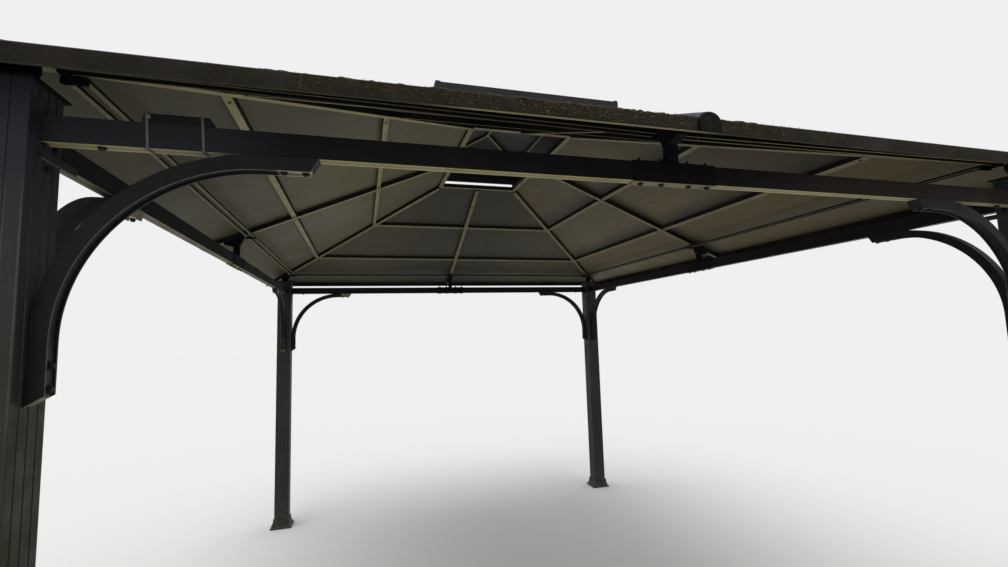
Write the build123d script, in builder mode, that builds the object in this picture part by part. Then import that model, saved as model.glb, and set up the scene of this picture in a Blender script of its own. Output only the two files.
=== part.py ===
from build123d import *
from math import cos, hypot, pi, sin
import os

# Plan of the four posts, seen from above: X runs along the short sides, Y along the long ones
POST_X = 1600.0  # post line of the two long sides, from the centre
POST_Y = 1923.0  # post line of the two short sides, from the centre

# Grooved square posts
POST_WIDTH = 120.0
POST_WALL = 4.0
POST_CORNER = 6.0
POST_TOP = 2250.0
GROOVE_WIDTH = 5.0
GROOVE_DEPTH = 2.0
GROOVE_PITCH = 30.0
GROOVES_PER_FACE = 3

# Foot plate that is bolted to the ground, and the flared cover around it
FOOT_THICK = 8.0
ANCHOR_SPACING = 138.0
ANCHOR_RADIUS = 5.5
ANCHOR_EDGE = 12.0  # from an anchor's middle to the edge of the plate
COVER_LIP = 12.0
COVER_HEIGHT = 80.0
COVER_WALL = 3.0
COVER_FOOT_CLEARANCE = 5.0
COVER_NECK_THICK = 6.7
COVER_STEPS = 5
COVER_CLEARANCE = 0.3

# Header beams between the posts, each in two lengths joined by a sleeve
BEAM_BOTTOM = 2134.0
BEAM_DEPTH = 58.0
BEAM_THICK = 34.0
BEAM_WALL = 2.5
BEAM_JOINT_GAP = 2.0
SLEEVE_LENGTH = 280.0
SLEEVE_WALL = 2.5
SLEEVE_CLEARANCE = 0.3

# Slim case that stands on the near beam
CASE_LENGTH = 135.0
CASE_HEIGHT = 22.0
CASE_FROM_POST = 180.0
CASE_CORNER = 8.0

# Curved braces in the corners between posts and beams
BRACE_REACH = 546.0
BRACE_DEPTH = 34.0
BRACE_WIDTH = 40.0
BRACE_BEND = 420.0
BRACE_END_SLANT = 20.0
BRACE_CHANNEL_DEPTH = 5.0
BRACE_CHANNEL_LIP = 5.0

# Vent opening at the top of the roof: the frame that the rafters run up to
RING_X = 284.0  # clear half width
RING_Y = 553.0  # clear half length
RING_BOTTOM = 2854.0
RING_BAR = 30.0
RING_HEIGHT = 30.0

# Roof slopes, set by the underside of the rafters over the post lines
RAFTER_AT_POST = 2302.0
EAVE_REACH = 165.0  # overhang past the post line of the long sides
RAFTER_DEPTH = 30.0
RAFTER_WIDTH = 30.0
PURLIN_WIDTH = 24.0
PURLIN_DEPTH = 26.0
PURLIN_PLACES = (0.386, 0.762)  # shares of the run from the vent to the posts
PANEL_THICK = 2.0
PANEL_JOINT = 4.0

# Eave rail: a thin channel that closes the rafter ends
RAIL_WALL = 2.5
RAIL_DROP = 7.0
RAIL_FLANGE = 9.0
RAIL_LIP = 9.0

# Rounded covers over the panel joints, each with a closed end that hangs over the eave
COVER_RADIUS = 33.0
COVER_RISE = 17.0  # of the cover above the panels
COVER_SHEET = 1.5
COVER_PAST_EAVE = 12.0
COVER_END_WALL = 2.0
COVER_END_DEPTH = 50.0
COVER_END_ROUND = 3.0
COVER_FROM_VENT = 12.0
HIP_COVER_START = 58.0  # from the vent ring's corner, along the hip's plan

# Brackets between beams, posts and rafters
STEM_WIDTH = 30.0
STEM_HEIGHT = 58.0
HEAD_OUTWARDS = 65.0  # reach of the bracket's head along the rafter, from the beam's middle
HEAD_INWARDS = 38.0
HEAD_EDGE = 12.0
BRACKET_THICK = 32.0
POST_CAP_WIDTH = 136.0
POST_CAP_THICK = 6.0
CORNER_STEM_WIDTH = 44.0
CORNER_STEM_HEIGHT = 14.0
CORNER_HEAD_WIDTH = 76.0
CORNER_HEAD_START = 36.0

# Curtain track: two slim bars on each side, which lie on hangers under the rafters
TRACK_LIFT = 10.0  # of the bars above the rafters' underside over the posts
TRACK_WIDTH = 13.0
TRACK_HEIGHT = 9.0
LONG_INSETS = (55.0, 91.0)  # of the two bars from the post line, on the long sides
SHORT_INSETS = (54.0, 72.0)  # the same in the middle of the short sides
SHORT_END_INSETS = (18.0, 36.0)  # and at their ends
HANGER_WIDTH = 14.0
HANGER_THICK = 10.0
HANGER_PAST = 3.0
HANGER_ROUND = 5.0
HANGER_CLEARANCE = 0.3
HANGER_WEB = 4.0
CORNER_HANGER_INSET = 65.0  # of the corner hanger from the short sides' post line

# Raised vent cap
CAP_X = 530.0  # half width over the fascia
CAP_Y = 742.0  # half length over the fascia
CAP_FASCIA_BOTTOM = 2962.0
CAP_FASCIA_HEIGHT = 52.0
CAP_FASCIA_WALL = 3.0
CAP_FASCIA_FLANGE = 16.0
CAP_PITCH = 0.30  # rise for each unit of run
CAP_PANEL_THICK = 2.0
CAP_SEAM = 0.6
CAP_BAR = 20.0
CAP_POST_WIDTH = 18.0
CAP_FRAME_BAR = 18.0
CAP_FRAME_CLEARANCE = 0.5

# Sizes that follow from the ones above
RUN_X = POST_X - RING_X
RUN_Y = POST_Y - RING_Y
ROOF_DROP = RING_BOTTOM - RAFTER_AT_POST
HIP_RUN = hypot(RUN_X, RUN_Y)
EAVE_SHARE = 1.0 + EAVE_REACH / RUN_X
EAVE_X = RING_X + EAVE_SHARE * RUN_X
EAVE_Y = RING_Y + EAVE_SHARE * RUN_Y
EAVE_BASE = RING_BOTTOM - EAVE_SHARE * ROOF_DROP
TRACK_BOTTOM = RAFTER_AT_POST + TRACK_LIFT
RING_OUTER_X = RING_X + RING_BAR
RING_OUTER_Y = RING_Y + RING_BAR
FOOT_WIDTH = ANCHOR_SPACING + 2 * ANCHOR_EDGE
COVER_FOOT_WIDTH = FOOT_WIDTH + 2 * (COVER_FOOT_CLEARANCE + COVER_WALL)
COVER_NECK_WIDTH = POST_WIDTH + 2 * (COVER_CLEARANCE + COVER_NECK_THICK)
BEAM_TOP = BEAM_BOTTOM + BEAM_DEPTH
SLEEVE_TOP = BEAM_TOP + SLEEVE_CLEARANCE + SLEEVE_WALL
PANEL_TOP = RAFTER_DEPTH + PANEL_THICK
CAP_EDGE = CAP_FASCIA_BOTTOM + CAP_FASCIA_HEIGHT
CAP_RIDGE_Y = CAP_Y - CAP_X
CAP_RIDGE_RISE = CAP_PITCH * CAP_X
TALL = 2 * CAP_EDGE  # far above everything, for prisms that are trimmed later


class Side:
    """One side of the roof, with its plan directions and its slope.

    The first plan coordinate runs outwards from the centre, the second along the side.
    """

    def __init__(self, name, out):
        self.name = name
        self.out = Vector(*out, 0)
        self.along = Vector(out[1], -out[0], 0)
        on_long_side = out[0] != 0
        self.line = POST_X if on_long_side else POST_Y
        self.clear = (POST_Y if on_long_side else POST_X) - POST_WIDTH / 2
        self.ring = RING_X if on_long_side else RING_Y
        self.ring_outer = RING_OUTER_X if on_long_side else RING_OUTER_Y
        self.ring_along = RING_Y if on_long_side else RING_X
        self.run = RUN_X if on_long_side else RUN_Y
        self.run_along = RUN_Y if on_long_side else RUN_X
        self.eave = EAVE_X if on_long_side else EAVE_Y
        self.eave_along = EAVE_Y if on_long_side else EAVE_X
        self.cap = CAP_X if on_long_side else CAP_Y
        self.cap_along = CAP_Y if on_long_side else CAP_X
        self.fall = ROOF_DROP / self.run

    def at(self, outward, sideways, height=0.0):
        """Point of the model at two plan coordinates and a height."""
        return self.out * outward + self.along * sideways + Vector(0, 0, height)

    def flat(self, outward, sideways):
        """The same point in the ground plan."""
        point = self.at(outward, sideways)
        return (point.X, point.Y)

    def base(self, outward):
        """Height of the rafters' underside at an outward coordinate."""
        return RING_BOTTOM - self.fall * (outward - self.ring)

    def slope(self, rise):
        """Plane of the rafters' underside, lifted by rise."""
        top = self.at(self.ring, 0, RING_BOTTOM + rise)
        return Plane(origin=top, z_dir=self.out * self.fall + Vector(0, 0, 1))

    def hip_at(self, outward):
        """Sideways coordinate of the hip line at an outward one."""
        return self.ring_along + (outward - self.ring) * self.run_along / self.run

    def hip_shift(self, distance):
        """Sideways step that lies the given distance square off the hip line."""
        return distance * HIP_RUN / self.run

    def across(self, outward, sideways, height):
        """Plane square to the side's own direction, X outwards and Y up."""
        return Plane(origin=self.at(outward, sideways, height), x_dir=self.out, z_dir=self.along)

    def cap_slope(self, rise):
        """Plane of the cap panels' underside, lifted by rise."""
        edge = self.at(self.cap, 0, CAP_EDGE + rise)
        return Plane(origin=edge, z_dir=self.out * CAP_PITCH + Vector(0, 0, 1))


NEAR = Side("near", (0, -1))
FAR = Side("far", (0, 1))
LEFT = Side("left", (-1, 0))
RIGHT = Side("right", (1, 0))
SIDES = (NEAR, FAR, LEFT, RIGHT)
CORNERS = ((NEAR, LEFT, -1, -1), (NEAR, RIGHT, 1, -1), (FAR, LEFT, -1, 1), (FAR, RIGHT, 1, 1))


def hip_plane(x_sign, y_sign, rise):
    """Plane under a hip rafter: it holds the hip line and is level across it."""
    tilt = ROOF_DROP / HIP_RUN ** 2
    normal = Vector(x_sign * RUN_X * tilt, y_sign * RUN_Y * tilt, 1)
    return Plane(origin=(x_sign * RING_X, y_sign * RING_Y, RING_BOTTOM + rise), z_dir=normal)


def prism(outline, over=(), under=()):
    """Upright prism on a plan outline, kept over some planes and under others."""
    with BuildPart() as body:
        with BuildSketch():
            with BuildLine():
                Polyline(*outline, close=True)
            make_face()
        extrude(amount=TALL)
        for plane in over:
            split(bisect_by=plane, keep=Keep.TOP)
        for plane in under:
            split(bisect_by=plane, keep=Keep.BOTTOM)
    return body.part


def rectangle_outline(half_x, half_y):
    """Corners of a centred rectangle in plan."""
    return [(half_x, half_y), (-half_x, half_y), (-half_x, -half_y), (half_x, -half_y)]


def write(part, name):
    """Label a finished piece and write its file."""
    part.label = name
    export_step(part, f"parts/{name}.step")


os.makedirs("parts", exist_ok=True)

# Posts: rolled square tubes with three grooves down each face, welded to a drilled foot plate
for short_side, long_side, x_sign, y_sign in CORNERS:
    ground = Plane(origin=(x_sign * POST_X, y_sign * POST_Y, 0))
    with BuildPart() as post:
        with BuildSketch(ground):
            RectangleRounded(POST_WIDTH, POST_WIDTH, POST_CORNER)
            with PolarLocations(POST_WIDTH / 2, 4):
                with GridLocations(0, GROOVE_PITCH, 1, GROOVES_PER_FACE):
                    Rectangle(2 * GROOVE_DEPTH, GROOVE_WIDTH, mode=Mode.SUBTRACT)
        extrude(amount=POST_TOP)
        with BuildSketch(ground):
            Rectangle(FOOT_WIDTH, FOOT_WIDTH)
            with GridLocations(ANCHOR_SPACING, ANCHOR_SPACING, 2, 2):
                Circle(ANCHOR_RADIUS, mode=Mode.SUBTRACT)
        extrude(amount=FOOT_THICK)
        with BuildSketch(ground.offset(FOOT_THICK)):
            Rectangle(POST_WIDTH - 2 * POST_WALL, POST_WIDTH - 2 * POST_WALL)
        extrude(amount=POST_TOP, mode=Mode.SUBTRACT)
    write(post.part, f"post_{short_side.name}_{long_side.name}")

# Base covers: flared sheet skirts that hide the foot plates and anchors
with BuildPart() as base_covers:
    for x_sign in (-1, 1):
        for y_sign in (-1, 1):
            ground = Plane(origin=(x_sign * POST_X, y_sign * POST_Y, 0))
            for wall, mode in ((0.0, Mode.ADD), (COVER_WALL, Mode.SUBTRACT)):
                with BuildSketch(ground):
                    Rectangle(COVER_FOOT_WIDTH - 2 * wall, COVER_FOOT_WIDTH - 2 * wall)
                extrude(amount=COVER_LIP, mode=mode)
                for step in range(COVER_STEPS + 1):
                    turn = step / COVER_STEPS * pi / 2
                    height = COVER_LIP + (COVER_HEIGHT - COVER_LIP - wall) * (1 - cos(turn))
                    inset = (COVER_FOOT_WIDTH - COVER_NECK_WIDTH) / 2 * sin(turn)
                    with BuildSketch(ground.offset(height)):
                        width = COVER_FOOT_WIDTH - 2 * inset - 2 * wall
                        Rectangle(width, width)
                loft(ruled=True, mode=mode)
            with BuildSketch(ground):
                opening = POST_WIDTH + 2 * COVER_CLEARANCE
                Rectangle(opening, opening)
            extrude(amount=COVER_HEIGHT, mode=Mode.SUBTRACT)
write(base_covers.part, "base_covers")

# Header beams: two lengths of rectangular tube on each side, butted to the posts
for side in SIDES:
    with BuildPart() as beam:
        with BuildSketch(side.across(side.line, BEAM_JOINT_GAP / 2, BEAM_BOTTOM + BEAM_DEPTH / 2)):
            Rectangle(BEAM_THICK, BEAM_DEPTH)
            Rectangle(BEAM_THICK - 2 * BEAM_WALL, BEAM_DEPTH - 2 * BEAM_WALL, mode=Mode.SUBTRACT)
        extrude(amount=side.clear - BEAM_JOINT_GAP / 2)
        mirror(about=Plane(origin=(0, 0, 0), z_dir=side.along))
    write(beam.part, f"beam_{side.name}")

# Splice sleeves: short tubes around the beam joints
with BuildPart() as sleeves:
    for side in SIDES:
        bore_thick = BEAM_THICK + 2 * SLEEVE_CLEARANCE
        bore_depth = BEAM_DEPTH + 2 * SLEEVE_CLEARANCE
        with BuildSketch(side.across(side.line, 0, BEAM_BOTTOM + BEAM_DEPTH / 2)):
            Rectangle(bore_thick + 2 * SLEEVE_WALL, bore_depth + 2 * SLEEVE_WALL)
            Rectangle(bore_thick, bore_depth, mode=Mode.SUBTRACT)
        extrude(amount=SLEEVE_LENGTH / 2, both=True)
write(sleeves.part, "beam_sleeves")

# Strapped case: a slim black box on top of the near beam, held there by two cable ties
case_middle = CASE_FROM_POST + CASE_LENGTH / 2 - NEAR.clear
with BuildPart() as strapped_case:
    with BuildSketch(Plane(origin=(case_middle, -POST_Y, BEAM_TOP), x_dir=(1, 0, 0), z_dir=(0, -1, 0))):
        Rectangle(CASE_LENGTH, CASE_HEIGHT, align=(Align.CENTER, Align.MIN))
    extrude(amount=BEAM_THICK / 2, both=True)
    fillet(strapped_case.edges().filter_by(Axis.Y).group_by(Axis.Z)[-1], CASE_CORNER)
write(strapped_case.part, "strapped_case")

# Curved braces: channels that run up the post, round the corner and along the beam
for side in SIDES:
    for neighbour in SIDES:
        end = round(side.along.dot(neighbour.out))
        if end == 0:
            continue
        inward = side.along * -end
        corner = side.at(side.line, end * side.clear, BEAM_BOTTOM)
        face = Plane(origin=corner, x_dir=inward, z_dir=Vector(inward.Y, -inward.X, 0))
        centre = (BRACE_BEND, -BRACE_BEND)
        tip = BRACE_REACH - BRACE_END_SLANT
        floor = BRACE_DEPTH - BRACE_CHANNEL_DEPTH
        with BuildPart() as brace:
            with BuildSketch(face):
                with BuildLine():
                    Line((0, -BRACE_REACH), (0, -BRACE_BEND))
                    CenterArc(centre, BRACE_BEND, 180, -90)
                    Line((BRACE_BEND, 0), (BRACE_REACH, 0))
                    Line((BRACE_REACH, 0), (tip, -BRACE_DEPTH))
                    Line((tip, -BRACE_DEPTH), (BRACE_BEND, -BRACE_DEPTH))
                    CenterArc(centre, BRACE_BEND - BRACE_DEPTH, 90, 90)
                    Line((BRACE_DEPTH, -BRACE_BEND), (BRACE_DEPTH, -tip))
                    Line((BRACE_DEPTH, -tip), (0, -BRACE_REACH))
                make_face()
            extrude(amount=BRACE_WIDTH / 2, both=True)
            with BuildSketch(face):
                with BuildLine():
                    Line((floor, -BRACE_REACH), (floor, -BRACE_BEND))
                    CenterArc(centre, BRACE_BEND - floor, 180, -90)
                    Line((BRACE_BEND, -floor), (BRACE_REACH, -floor))
                    Line((BRACE_REACH, -floor), (BRACE_REACH, -BRACE_DEPTH))
                    Line((BRACE_REACH, -BRACE_DEPTH), (BRACE_BEND, -BRACE_DEPTH))
                    CenterArc(centre, BRACE_BEND - BRACE_DEPTH, 90, 90)
                    Line((BRACE_DEPTH, -BRACE_BEND), (BRACE_DEPTH, -BRACE_REACH))
                    Line((BRACE_DEPTH, -BRACE_REACH), (floor, -BRACE_REACH))
                make_face()
            extrude(amount=BRACE_WIDTH / 2 - BRACE_CHANNEL_LIP, both=True, mode=Mode.SUBTRACT)
        write(brace.part, f"brace_{side.name}_at_{neighbour.name}")

# King brackets: stems from each beam's middle, flared along the rafter that they carry
with BuildPart() as king_brackets:
    for side in SIDES:
        outer_seat = side.base(side.line + HEAD_OUTWARDS) - SLEEVE_TOP
        inner_seat = side.base(side.line - HEAD_INWARDS) - SLEEVE_TOP
        with BuildSketch(side.across(side.line, 0, SLEEVE_TOP)):
            with BuildLine():
                Polyline(
                    (-STEM_WIDTH / 2, 0),
                    (STEM_WIDTH / 2, 0),
                    (STEM_WIDTH / 2, STEM_HEIGHT),
                    (HEAD_OUTWARDS, outer_seat - HEAD_EDGE),
                    (HEAD_OUTWARDS, outer_seat),
                    (-HEAD_INWARDS, inner_seat),
                    (-HEAD_INWARDS, inner_seat - HEAD_EDGE),
                    (-STEM_WIDTH / 2, STEM_HEIGHT),
                    close=True,
                )
            make_face()
        extrude(amount=BRACKET_THICK / 2, both=True)
write(king_brackets.part, "king_brackets")

# Corner brackets: cap plates on the posts with a flared stem up to each hip rafter
corner_brackets = []
for short_side, long_side, x_sign, y_sign in CORNERS:
    top = POST_TOP + POST_CAP_THICK
    hip_way = Vector(x_sign * RUN_X, y_sign * RUN_Y, 0).normalized()
    hip_side = Vector(hip_way.Y, -hip_way.X, 0)
    stem_face = Plane(origin=(x_sign * POST_X, y_sign * POST_Y, top), x_dir=hip_way, z_dir=hip_side)
    with BuildPart() as corner_bracket:
        with BuildSketch(stem_face):
            with BuildLine():
                Polyline(
                    (-CORNER_STEM_WIDTH / 2, 0),
                    (CORNER_STEM_WIDTH / 2, 0),
                    (CORNER_STEM_WIDTH / 2, CORNER_STEM_HEIGHT),
                    (CORNER_HEAD_WIDTH / 2, CORNER_HEAD_START),
                    (CORNER_HEAD_WIDTH / 2, ROOF_DROP),
                    (-CORNER_HEAD_WIDTH / 2, ROOF_DROP),
                    (-CORNER_HEAD_WIDTH / 2, CORNER_HEAD_START),
                    (-CORNER_STEM_WIDTH / 2, CORNER_STEM_HEIGHT),
                    close=True,
                )
            make_face()
        extrude(amount=RAFTER_WIDTH / 2, both=True)
        split(bisect_by=hip_plane(x_sign, y_sign, 0), keep=Keep.BOTTOM)
        with BuildSketch(Plane(origin=(x_sign * POST_X, y_sign * POST_Y, POST_TOP))):
            Rectangle(POST_CAP_WIDTH, POST_CAP_WIDTH)
        extrude(amount=POST_CAP_THICK)
    corner_brackets.append(corner_bracket.part)
with BuildPart() as all_corner_brackets:
    add(corner_brackets)
write(all_corner_brackets.part, "corner_brackets")

# Vent ring: a welded frame around the opening at the top
with BuildPart() as vent_ring:
    with BuildSketch(Plane.XY.offset(RING_BOTTOM)):
        Rectangle(2 * RING_OUTER_X, 2 * RING_OUTER_Y)
        Rectangle(2 * RING_X, 2 * RING_Y, mode=Mode.SUBTRACT)
    extrude(amount=RING_HEIGHT)
write(vent_ring.part, "vent_ring")

# Hip rafters: from the ring's corners over the posts to the corners of the eave rail
hip_rafters = []
ring_block = prism(rectangle_outline(RING_OUTER_X, RING_OUTER_Y))
eave_block = prism(rectangle_outline(EAVE_X - RAIL_WALL, EAVE_Y - RAIL_WALL))
for short_side, long_side, x_sign, y_sign in CORNERS:
    half = Vector(RUN_Y * y_sign, -RUN_X * x_sign, 0).normalized() * (RAFTER_WIDTH / 2)
    low_end = Vector(x_sign * EAVE_X, y_sign * EAVE_Y, 0)
    top_end = Vector(x_sign * RING_X, y_sign * RING_Y, 0)
    strip = [low_end + half, low_end - half, top_end - half, top_end + half]
    outline = [(corner.X, corner.Y) for corner in strip]
    slopes = (short_side.slope(RAFTER_DEPTH), long_side.slope(RAFTER_DEPTH))
    bar = prism(outline, over=(hip_plane(x_sign, y_sign, 0),), under=slopes)
    with BuildPart() as hip_rafter:
        add(bar)
        add(ring_block, mode=Mode.SUBTRACT)
        add(eave_block, mode=Mode.INTERSECT)
    hip_rafters.append(hip_rafter.part)
with BuildPart() as all_hip_rafters:
    add(hip_rafters)
write(all_hip_rafters.part, "hip_rafters")

# Middle rafters: from the ring down the middle of each slope
mid_rafters = []
for side in SIDES:
    half = RAFTER_WIDTH / 2
    top_end, low_end = side.ring_outer, side.eave - RAIL_WALL
    outline = [
        side.flat(top_end, half),
        side.flat(top_end, -half),
        side.flat(low_end, -half),
        side.flat(low_end, half),
    ]
    mid_rafters.append(prism(outline, over=(side.slope(0),), under=(side.slope(RAFTER_DEPTH),)))
with BuildPart() as all_mid_rafters:
    add(mid_rafters)
write(all_mid_rafters.part, "mid_rafters")

# Purlins: two rows of bars on each slope, let in between the rafters
for side in SIDES:
    bars = []
    for share in PURLIN_PLACES:
        middle = side.ring + share * side.run
        inner, outer = middle - PURLIN_WIDTH / 2, middle + PURLIN_WIDTH / 2
        gap = side.hip_shift(RAFTER_WIDTH / 2)
        for way in (1, -1):
            outline = [
                side.flat(inner, way * RAFTER_WIDTH / 2),
                side.flat(inner, way * (side.hip_at(inner) - gap)),
                side.flat(outer, way * (side.hip_at(outer) - gap)),
                side.flat(outer, way * RAFTER_WIDTH / 2),
            ]
            lower = side.slope(RAFTER_DEPTH - PURLIN_DEPTH)
            bars.append(prism(outline, over=(lower,), under=(side.slope(RAFTER_DEPTH),)))
    with BuildPart() as purlins:
        add(bars)
    write(purlins.part, f"purlins_{side.name}")

# Roof panels: two flat steel sheets on each slope, butted over the middle rafter
for side in SIDES:
    sheets = []
    for way in (1, -1):
        gap = side.hip_shift(PANEL_JOINT / 2)
        inner, outer = side.ring_outer, side.eave
        outline = [
            side.flat(inner, way * PANEL_JOINT / 2),
            side.flat(inner, way * (side.hip_at(inner) - gap)),
            side.flat(outer, way * (side.hip_at(outer) - gap)),
            side.flat(outer, way * PANEL_JOINT / 2),
        ]
        sheets.append(prism(outline, over=(side.slope(RAFTER_DEPTH),), under=(side.slope(PANEL_TOP),)))
    with BuildPart() as panels:
        add(sheets)
    write(panels.part, f"panels_{side.name}")

# Eave rails: channels with a turned-up lip, mitred at the corners
for side in SIDES:
    bottom = EAVE_BASE - RAIL_DROP
    with BuildPart() as rail:
        with BuildSketch(side.across(side.eave, 0, bottom)):
            with BuildLine():
                Polyline(
                    (0, 0),
                    (0, RAFTER_DEPTH + RAIL_DROP),
                    (-RAIL_WALL, RAFTER_DEPTH + RAIL_DROP + RAIL_WALL * side.fall),
                    (-RAIL_WALL, RAIL_WALL),
                    (RAIL_WALL - RAIL_FLANGE, RAIL_WALL),
                    (RAIL_WALL - RAIL_FLANGE, RAIL_LIP),
                    (-RAIL_FLANGE, RAIL_LIP),
                    (-RAIL_FLANGE, 0),
                    close=True,
                )
            make_face()
        extrude(amount=side.eave_along, both=True)
        for way in (1, -1):
            corner = side.at(side.eave, way * side.eave_along)
            mitre = side.at(1, 0) - side.at(0, way)
            split(bisect_by=Plane(origin=corner, z_dir=mitre), keep=Keep.TOP)
    write(rail.part, f"eave_rail_{side.name}")

# Curtain track: two slim bars on each side, which lie on hangers at the middle rafter and at the hips
hanger_top = TRACK_BOTTOM - HANGER_CLEARANCE
hanger_bottom = hanger_top - HANGER_THICK
hanger_line_x = POST_X - sum(LONG_INSETS) / 2
hanger_line_y = POST_Y - CORNER_HANGER_INSET
corner_hangers = {}
for short_side, long_side, x_sign, y_sign in CORNERS:
    centre = Vector(x_sign * hanger_line_x, y_sign * hanger_line_y, hanger_bottom)
    long_arm = LONG_INSETS[1] - LONG_INSETS[0] + TRACK_WIDTH + 2 * HANGER_PAST
    short_arm = CORNER_HANGER_INSET - SHORT_END_INSETS[0] + TRACK_WIDTH / 2 + HANGER_PAST
    with BuildPart() as corner_hanger:
        with BuildSketch(Plane(origin=centre, x_dir=(x_sign, 0, 0))):
            Rectangle(long_arm, HANGER_WIDTH)
            with Locations((0, x_sign * y_sign * short_arm / 2)):
                Rectangle(HANGER_WIDTH, short_arm)
        extrude(amount=HANGER_THICK)
        fillet(corner_hanger.edges().filter_by(Axis.Z).group_by(Axis.X)[0], HANGER_ROUND)
        fillet(corner_hanger.edges().filter_by(Axis.Z).group_by(Axis.X)[-1], HANGER_ROUND)
        with BuildSketch(Plane(origin=centre)):
            Rectangle(HANGER_WIDTH, HANGER_WIDTH)
        extrude(amount=ROOF_DROP)
        split(bisect_by=hip_plane(x_sign, y_sign, 0), keep=Keep.BOTTOM)
    corner_hangers.setdefault(short_side.name, []).append(corner_hanger.part)
for side in SIDES:
    long = side.line == POST_X
    middle_insets = LONG_INSETS if long else SHORT_INSETS
    end_insets = LONG_INSETS if long else SHORT_END_INSETS
    reach = (hanger_line_y if long else hanger_line_x) + HANGER_WIDTH / 2
    bars = []
    for middle_inset, end_inset in zip(middle_insets, end_insets):
        bends = [(end_inset, -reach), (middle_inset, 0), (end_inset, reach)]
        outer = [side.flat(side.line - inset + TRACK_WIDTH / 2, along) for inset, along in bends]
        inner = [side.flat(side.line - inset - TRACK_WIDTH / 2, along) for inset, along in bends]
        levels = (Plane.XY.offset(TRACK_BOTTOM), Plane.XY.offset(TRACK_BOTTOM + TRACK_HEIGHT))
        bars.append(prism(outer + inner[::-1], over=levels[:1], under=levels[1:]))
    between = side.line - sum(middle_insets) / 2
    across = middle_insets[1] - middle_insets[0] + TRACK_WIDTH + 2 * HANGER_PAST
    with BuildPart() as hanger:
        with BuildSketch(Plane(origin=side.at(between, 0, hanger_bottom), x_dir=side.out)):
            Rectangle(across, HANGER_WIDTH)
        extrude(amount=HANGER_THICK)
        fillet(hanger.edges().filter_by(Axis.Z), HANGER_ROUND)
        with BuildSketch(Plane(origin=side.at(between, 0, hanger_bottom), x_dir=side.out)):
            Rectangle(HANGER_WEB, HANGER_WIDTH)
        extrude(amount=ROOF_DROP)
        split(bisect_by=side.slope(0), keep=Keep.BOTTOM)
    with BuildPart() as track:
        add(bars)
        add(hanger.part)
        add(corner_hangers.get(side.name, []))
    write(track.part, f"curtain_track_{side.name}")

# Joint covers: rounded sheet that sits on the slopes, with a moulded end that closes it over the eave
roof_outline = rectangle_outline(EAVE_X + TALL, EAVE_Y + TALL)
roof_body = prism(roof_outline, under=[side.slope(PANEL_TOP) for side in SIDES])
eave_body = prism(rectangle_outline(EAVE_X, EAVE_Y), under=[side.slope(PANEL_TOP) for side in SIDES])


def joint_cover(top, end, sideways):
    """One cover along the line between two points on top of the panels."""
    down = (end - top).normalized()
    outwards = Vector(down.X, down.Y, 0).normalized()
    end_radius = COVER_RADIUS + COVER_END_WALL
    rail_bottom = EAVE_BASE - RAIL_DROP - end.Z
    with BuildPart() as closed_end:
        with BuildSketch(Plane(origin=end, x_dir=-sideways, z_dir=outwards)):
            with Locations((0, COVER_RISE - COVER_RADIUS)):
                Circle(end_radius)
                Rectangle(2 * end_radius, 2 * end_radius, align=(Align.CENTER, Align.MAX))
            with Locations((0, rail_bottom)):
                Rectangle(3 * end_radius, 3 * end_radius, align=(Align.CENTER, Align.MAX), mode=Mode.SUBTRACT)
        extrude(amount=-COVER_END_DEPTH)
        fillet(closed_end.faces().sort_by(Axis(end, outwards))[-1].edges(), COVER_END_ROUND)
        add(eave_body, mode=Mode.SUBTRACT)
    with BuildPart() as cover:
        with BuildSketch(Plane(origin=top, x_dir=-sideways, z_dir=down)):
            with Locations((0, COVER_RISE - COVER_RADIUS)):
                Circle(COVER_RADIUS)
                Circle(COVER_RADIUS - COVER_SHEET, mode=Mode.SUBTRACT)
        extrude(amount=(end - top).length - COVER_PAST_EAVE)
        add(roof_body, mode=Mode.SUBTRACT)
        add(closed_end.part)
    return cover.part


# One cover over the joint between the two panels of each slope, and one over each hip
with BuildPart() as joint_covers:
    for side in SIDES:
        start, end = side.ring_outer + COVER_FROM_VENT, side.eave + COVER_PAST_EAVE
        top = side.at(start, 0, side.base(start) + PANEL_TOP)
        foot = side.at(end, 0, side.base(end) + PANEL_TOP)
        add(joint_cover(top, foot, side.along))
    for short_side, long_side, x_sign, y_sign in CORNERS:
        ends = []
        for share in (HIP_COVER_START / HIP_RUN, EAVE_SHARE + COVER_PAST_EAVE / HIP_RUN):
            x, y = RING_X + share * RUN_X, RING_Y + share * RUN_Y
            ends.append(Vector(x_sign * x, y_sign * y, RING_BOTTOM + PANEL_TOP - share * ROOF_DROP))
        sideways = Vector(y_sign * RUN_Y, -x_sign * RUN_X, 0).normalized()
        add(joint_cover(ends[0], ends[1], sideways))
write(joint_covers.part, "joint_covers")

# Vent cap frame: a ring on four short posts, with hips and a ridge under the cap panels
frame_edge_run = min(CAP_X - RING_X, CAP_Y - RING_Y) - RING_BAR / 2 - CAP_FRAME_BAR / 2
frame_top = CAP_EDGE + CAP_PITCH * frame_edge_run - CAP_FRAME_CLEARANCE
frame_bottom = frame_top - CAP_FRAME_BAR
cap_slopes = [side.cap_slope(0) for side in SIDES]
cap_inner = rectangle_outline(CAP_X - CAP_FASCIA_WALL, CAP_Y - CAP_FASCIA_WALL)
cap_bars = []
for x_sign in (-1, 1):
    for y_sign in (-1, 1):
        half = Vector(y_sign, -x_sign, 0).normalized() * (CAP_BAR / 2)
        low_end = Vector(x_sign * CAP_X, y_sign * CAP_Y, 0)
        top_end = Vector(0, y_sign * CAP_RIDGE_Y, 0)
        outline = [(p.X, p.Y) for p in (low_end + half, low_end - half, top_end - half, top_end + half)]
        normal = Vector(x_sign, y_sign, 0) * (CAP_PITCH / 2) + Vector(0, 0, 1)
        lower = Plane(origin=(x_sign * CAP_X, y_sign * CAP_Y, CAP_EDGE - CAP_BAR), z_dir=normal)
        cap_bars.append(prism(outline, over=(lower,), under=cap_slopes))
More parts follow.
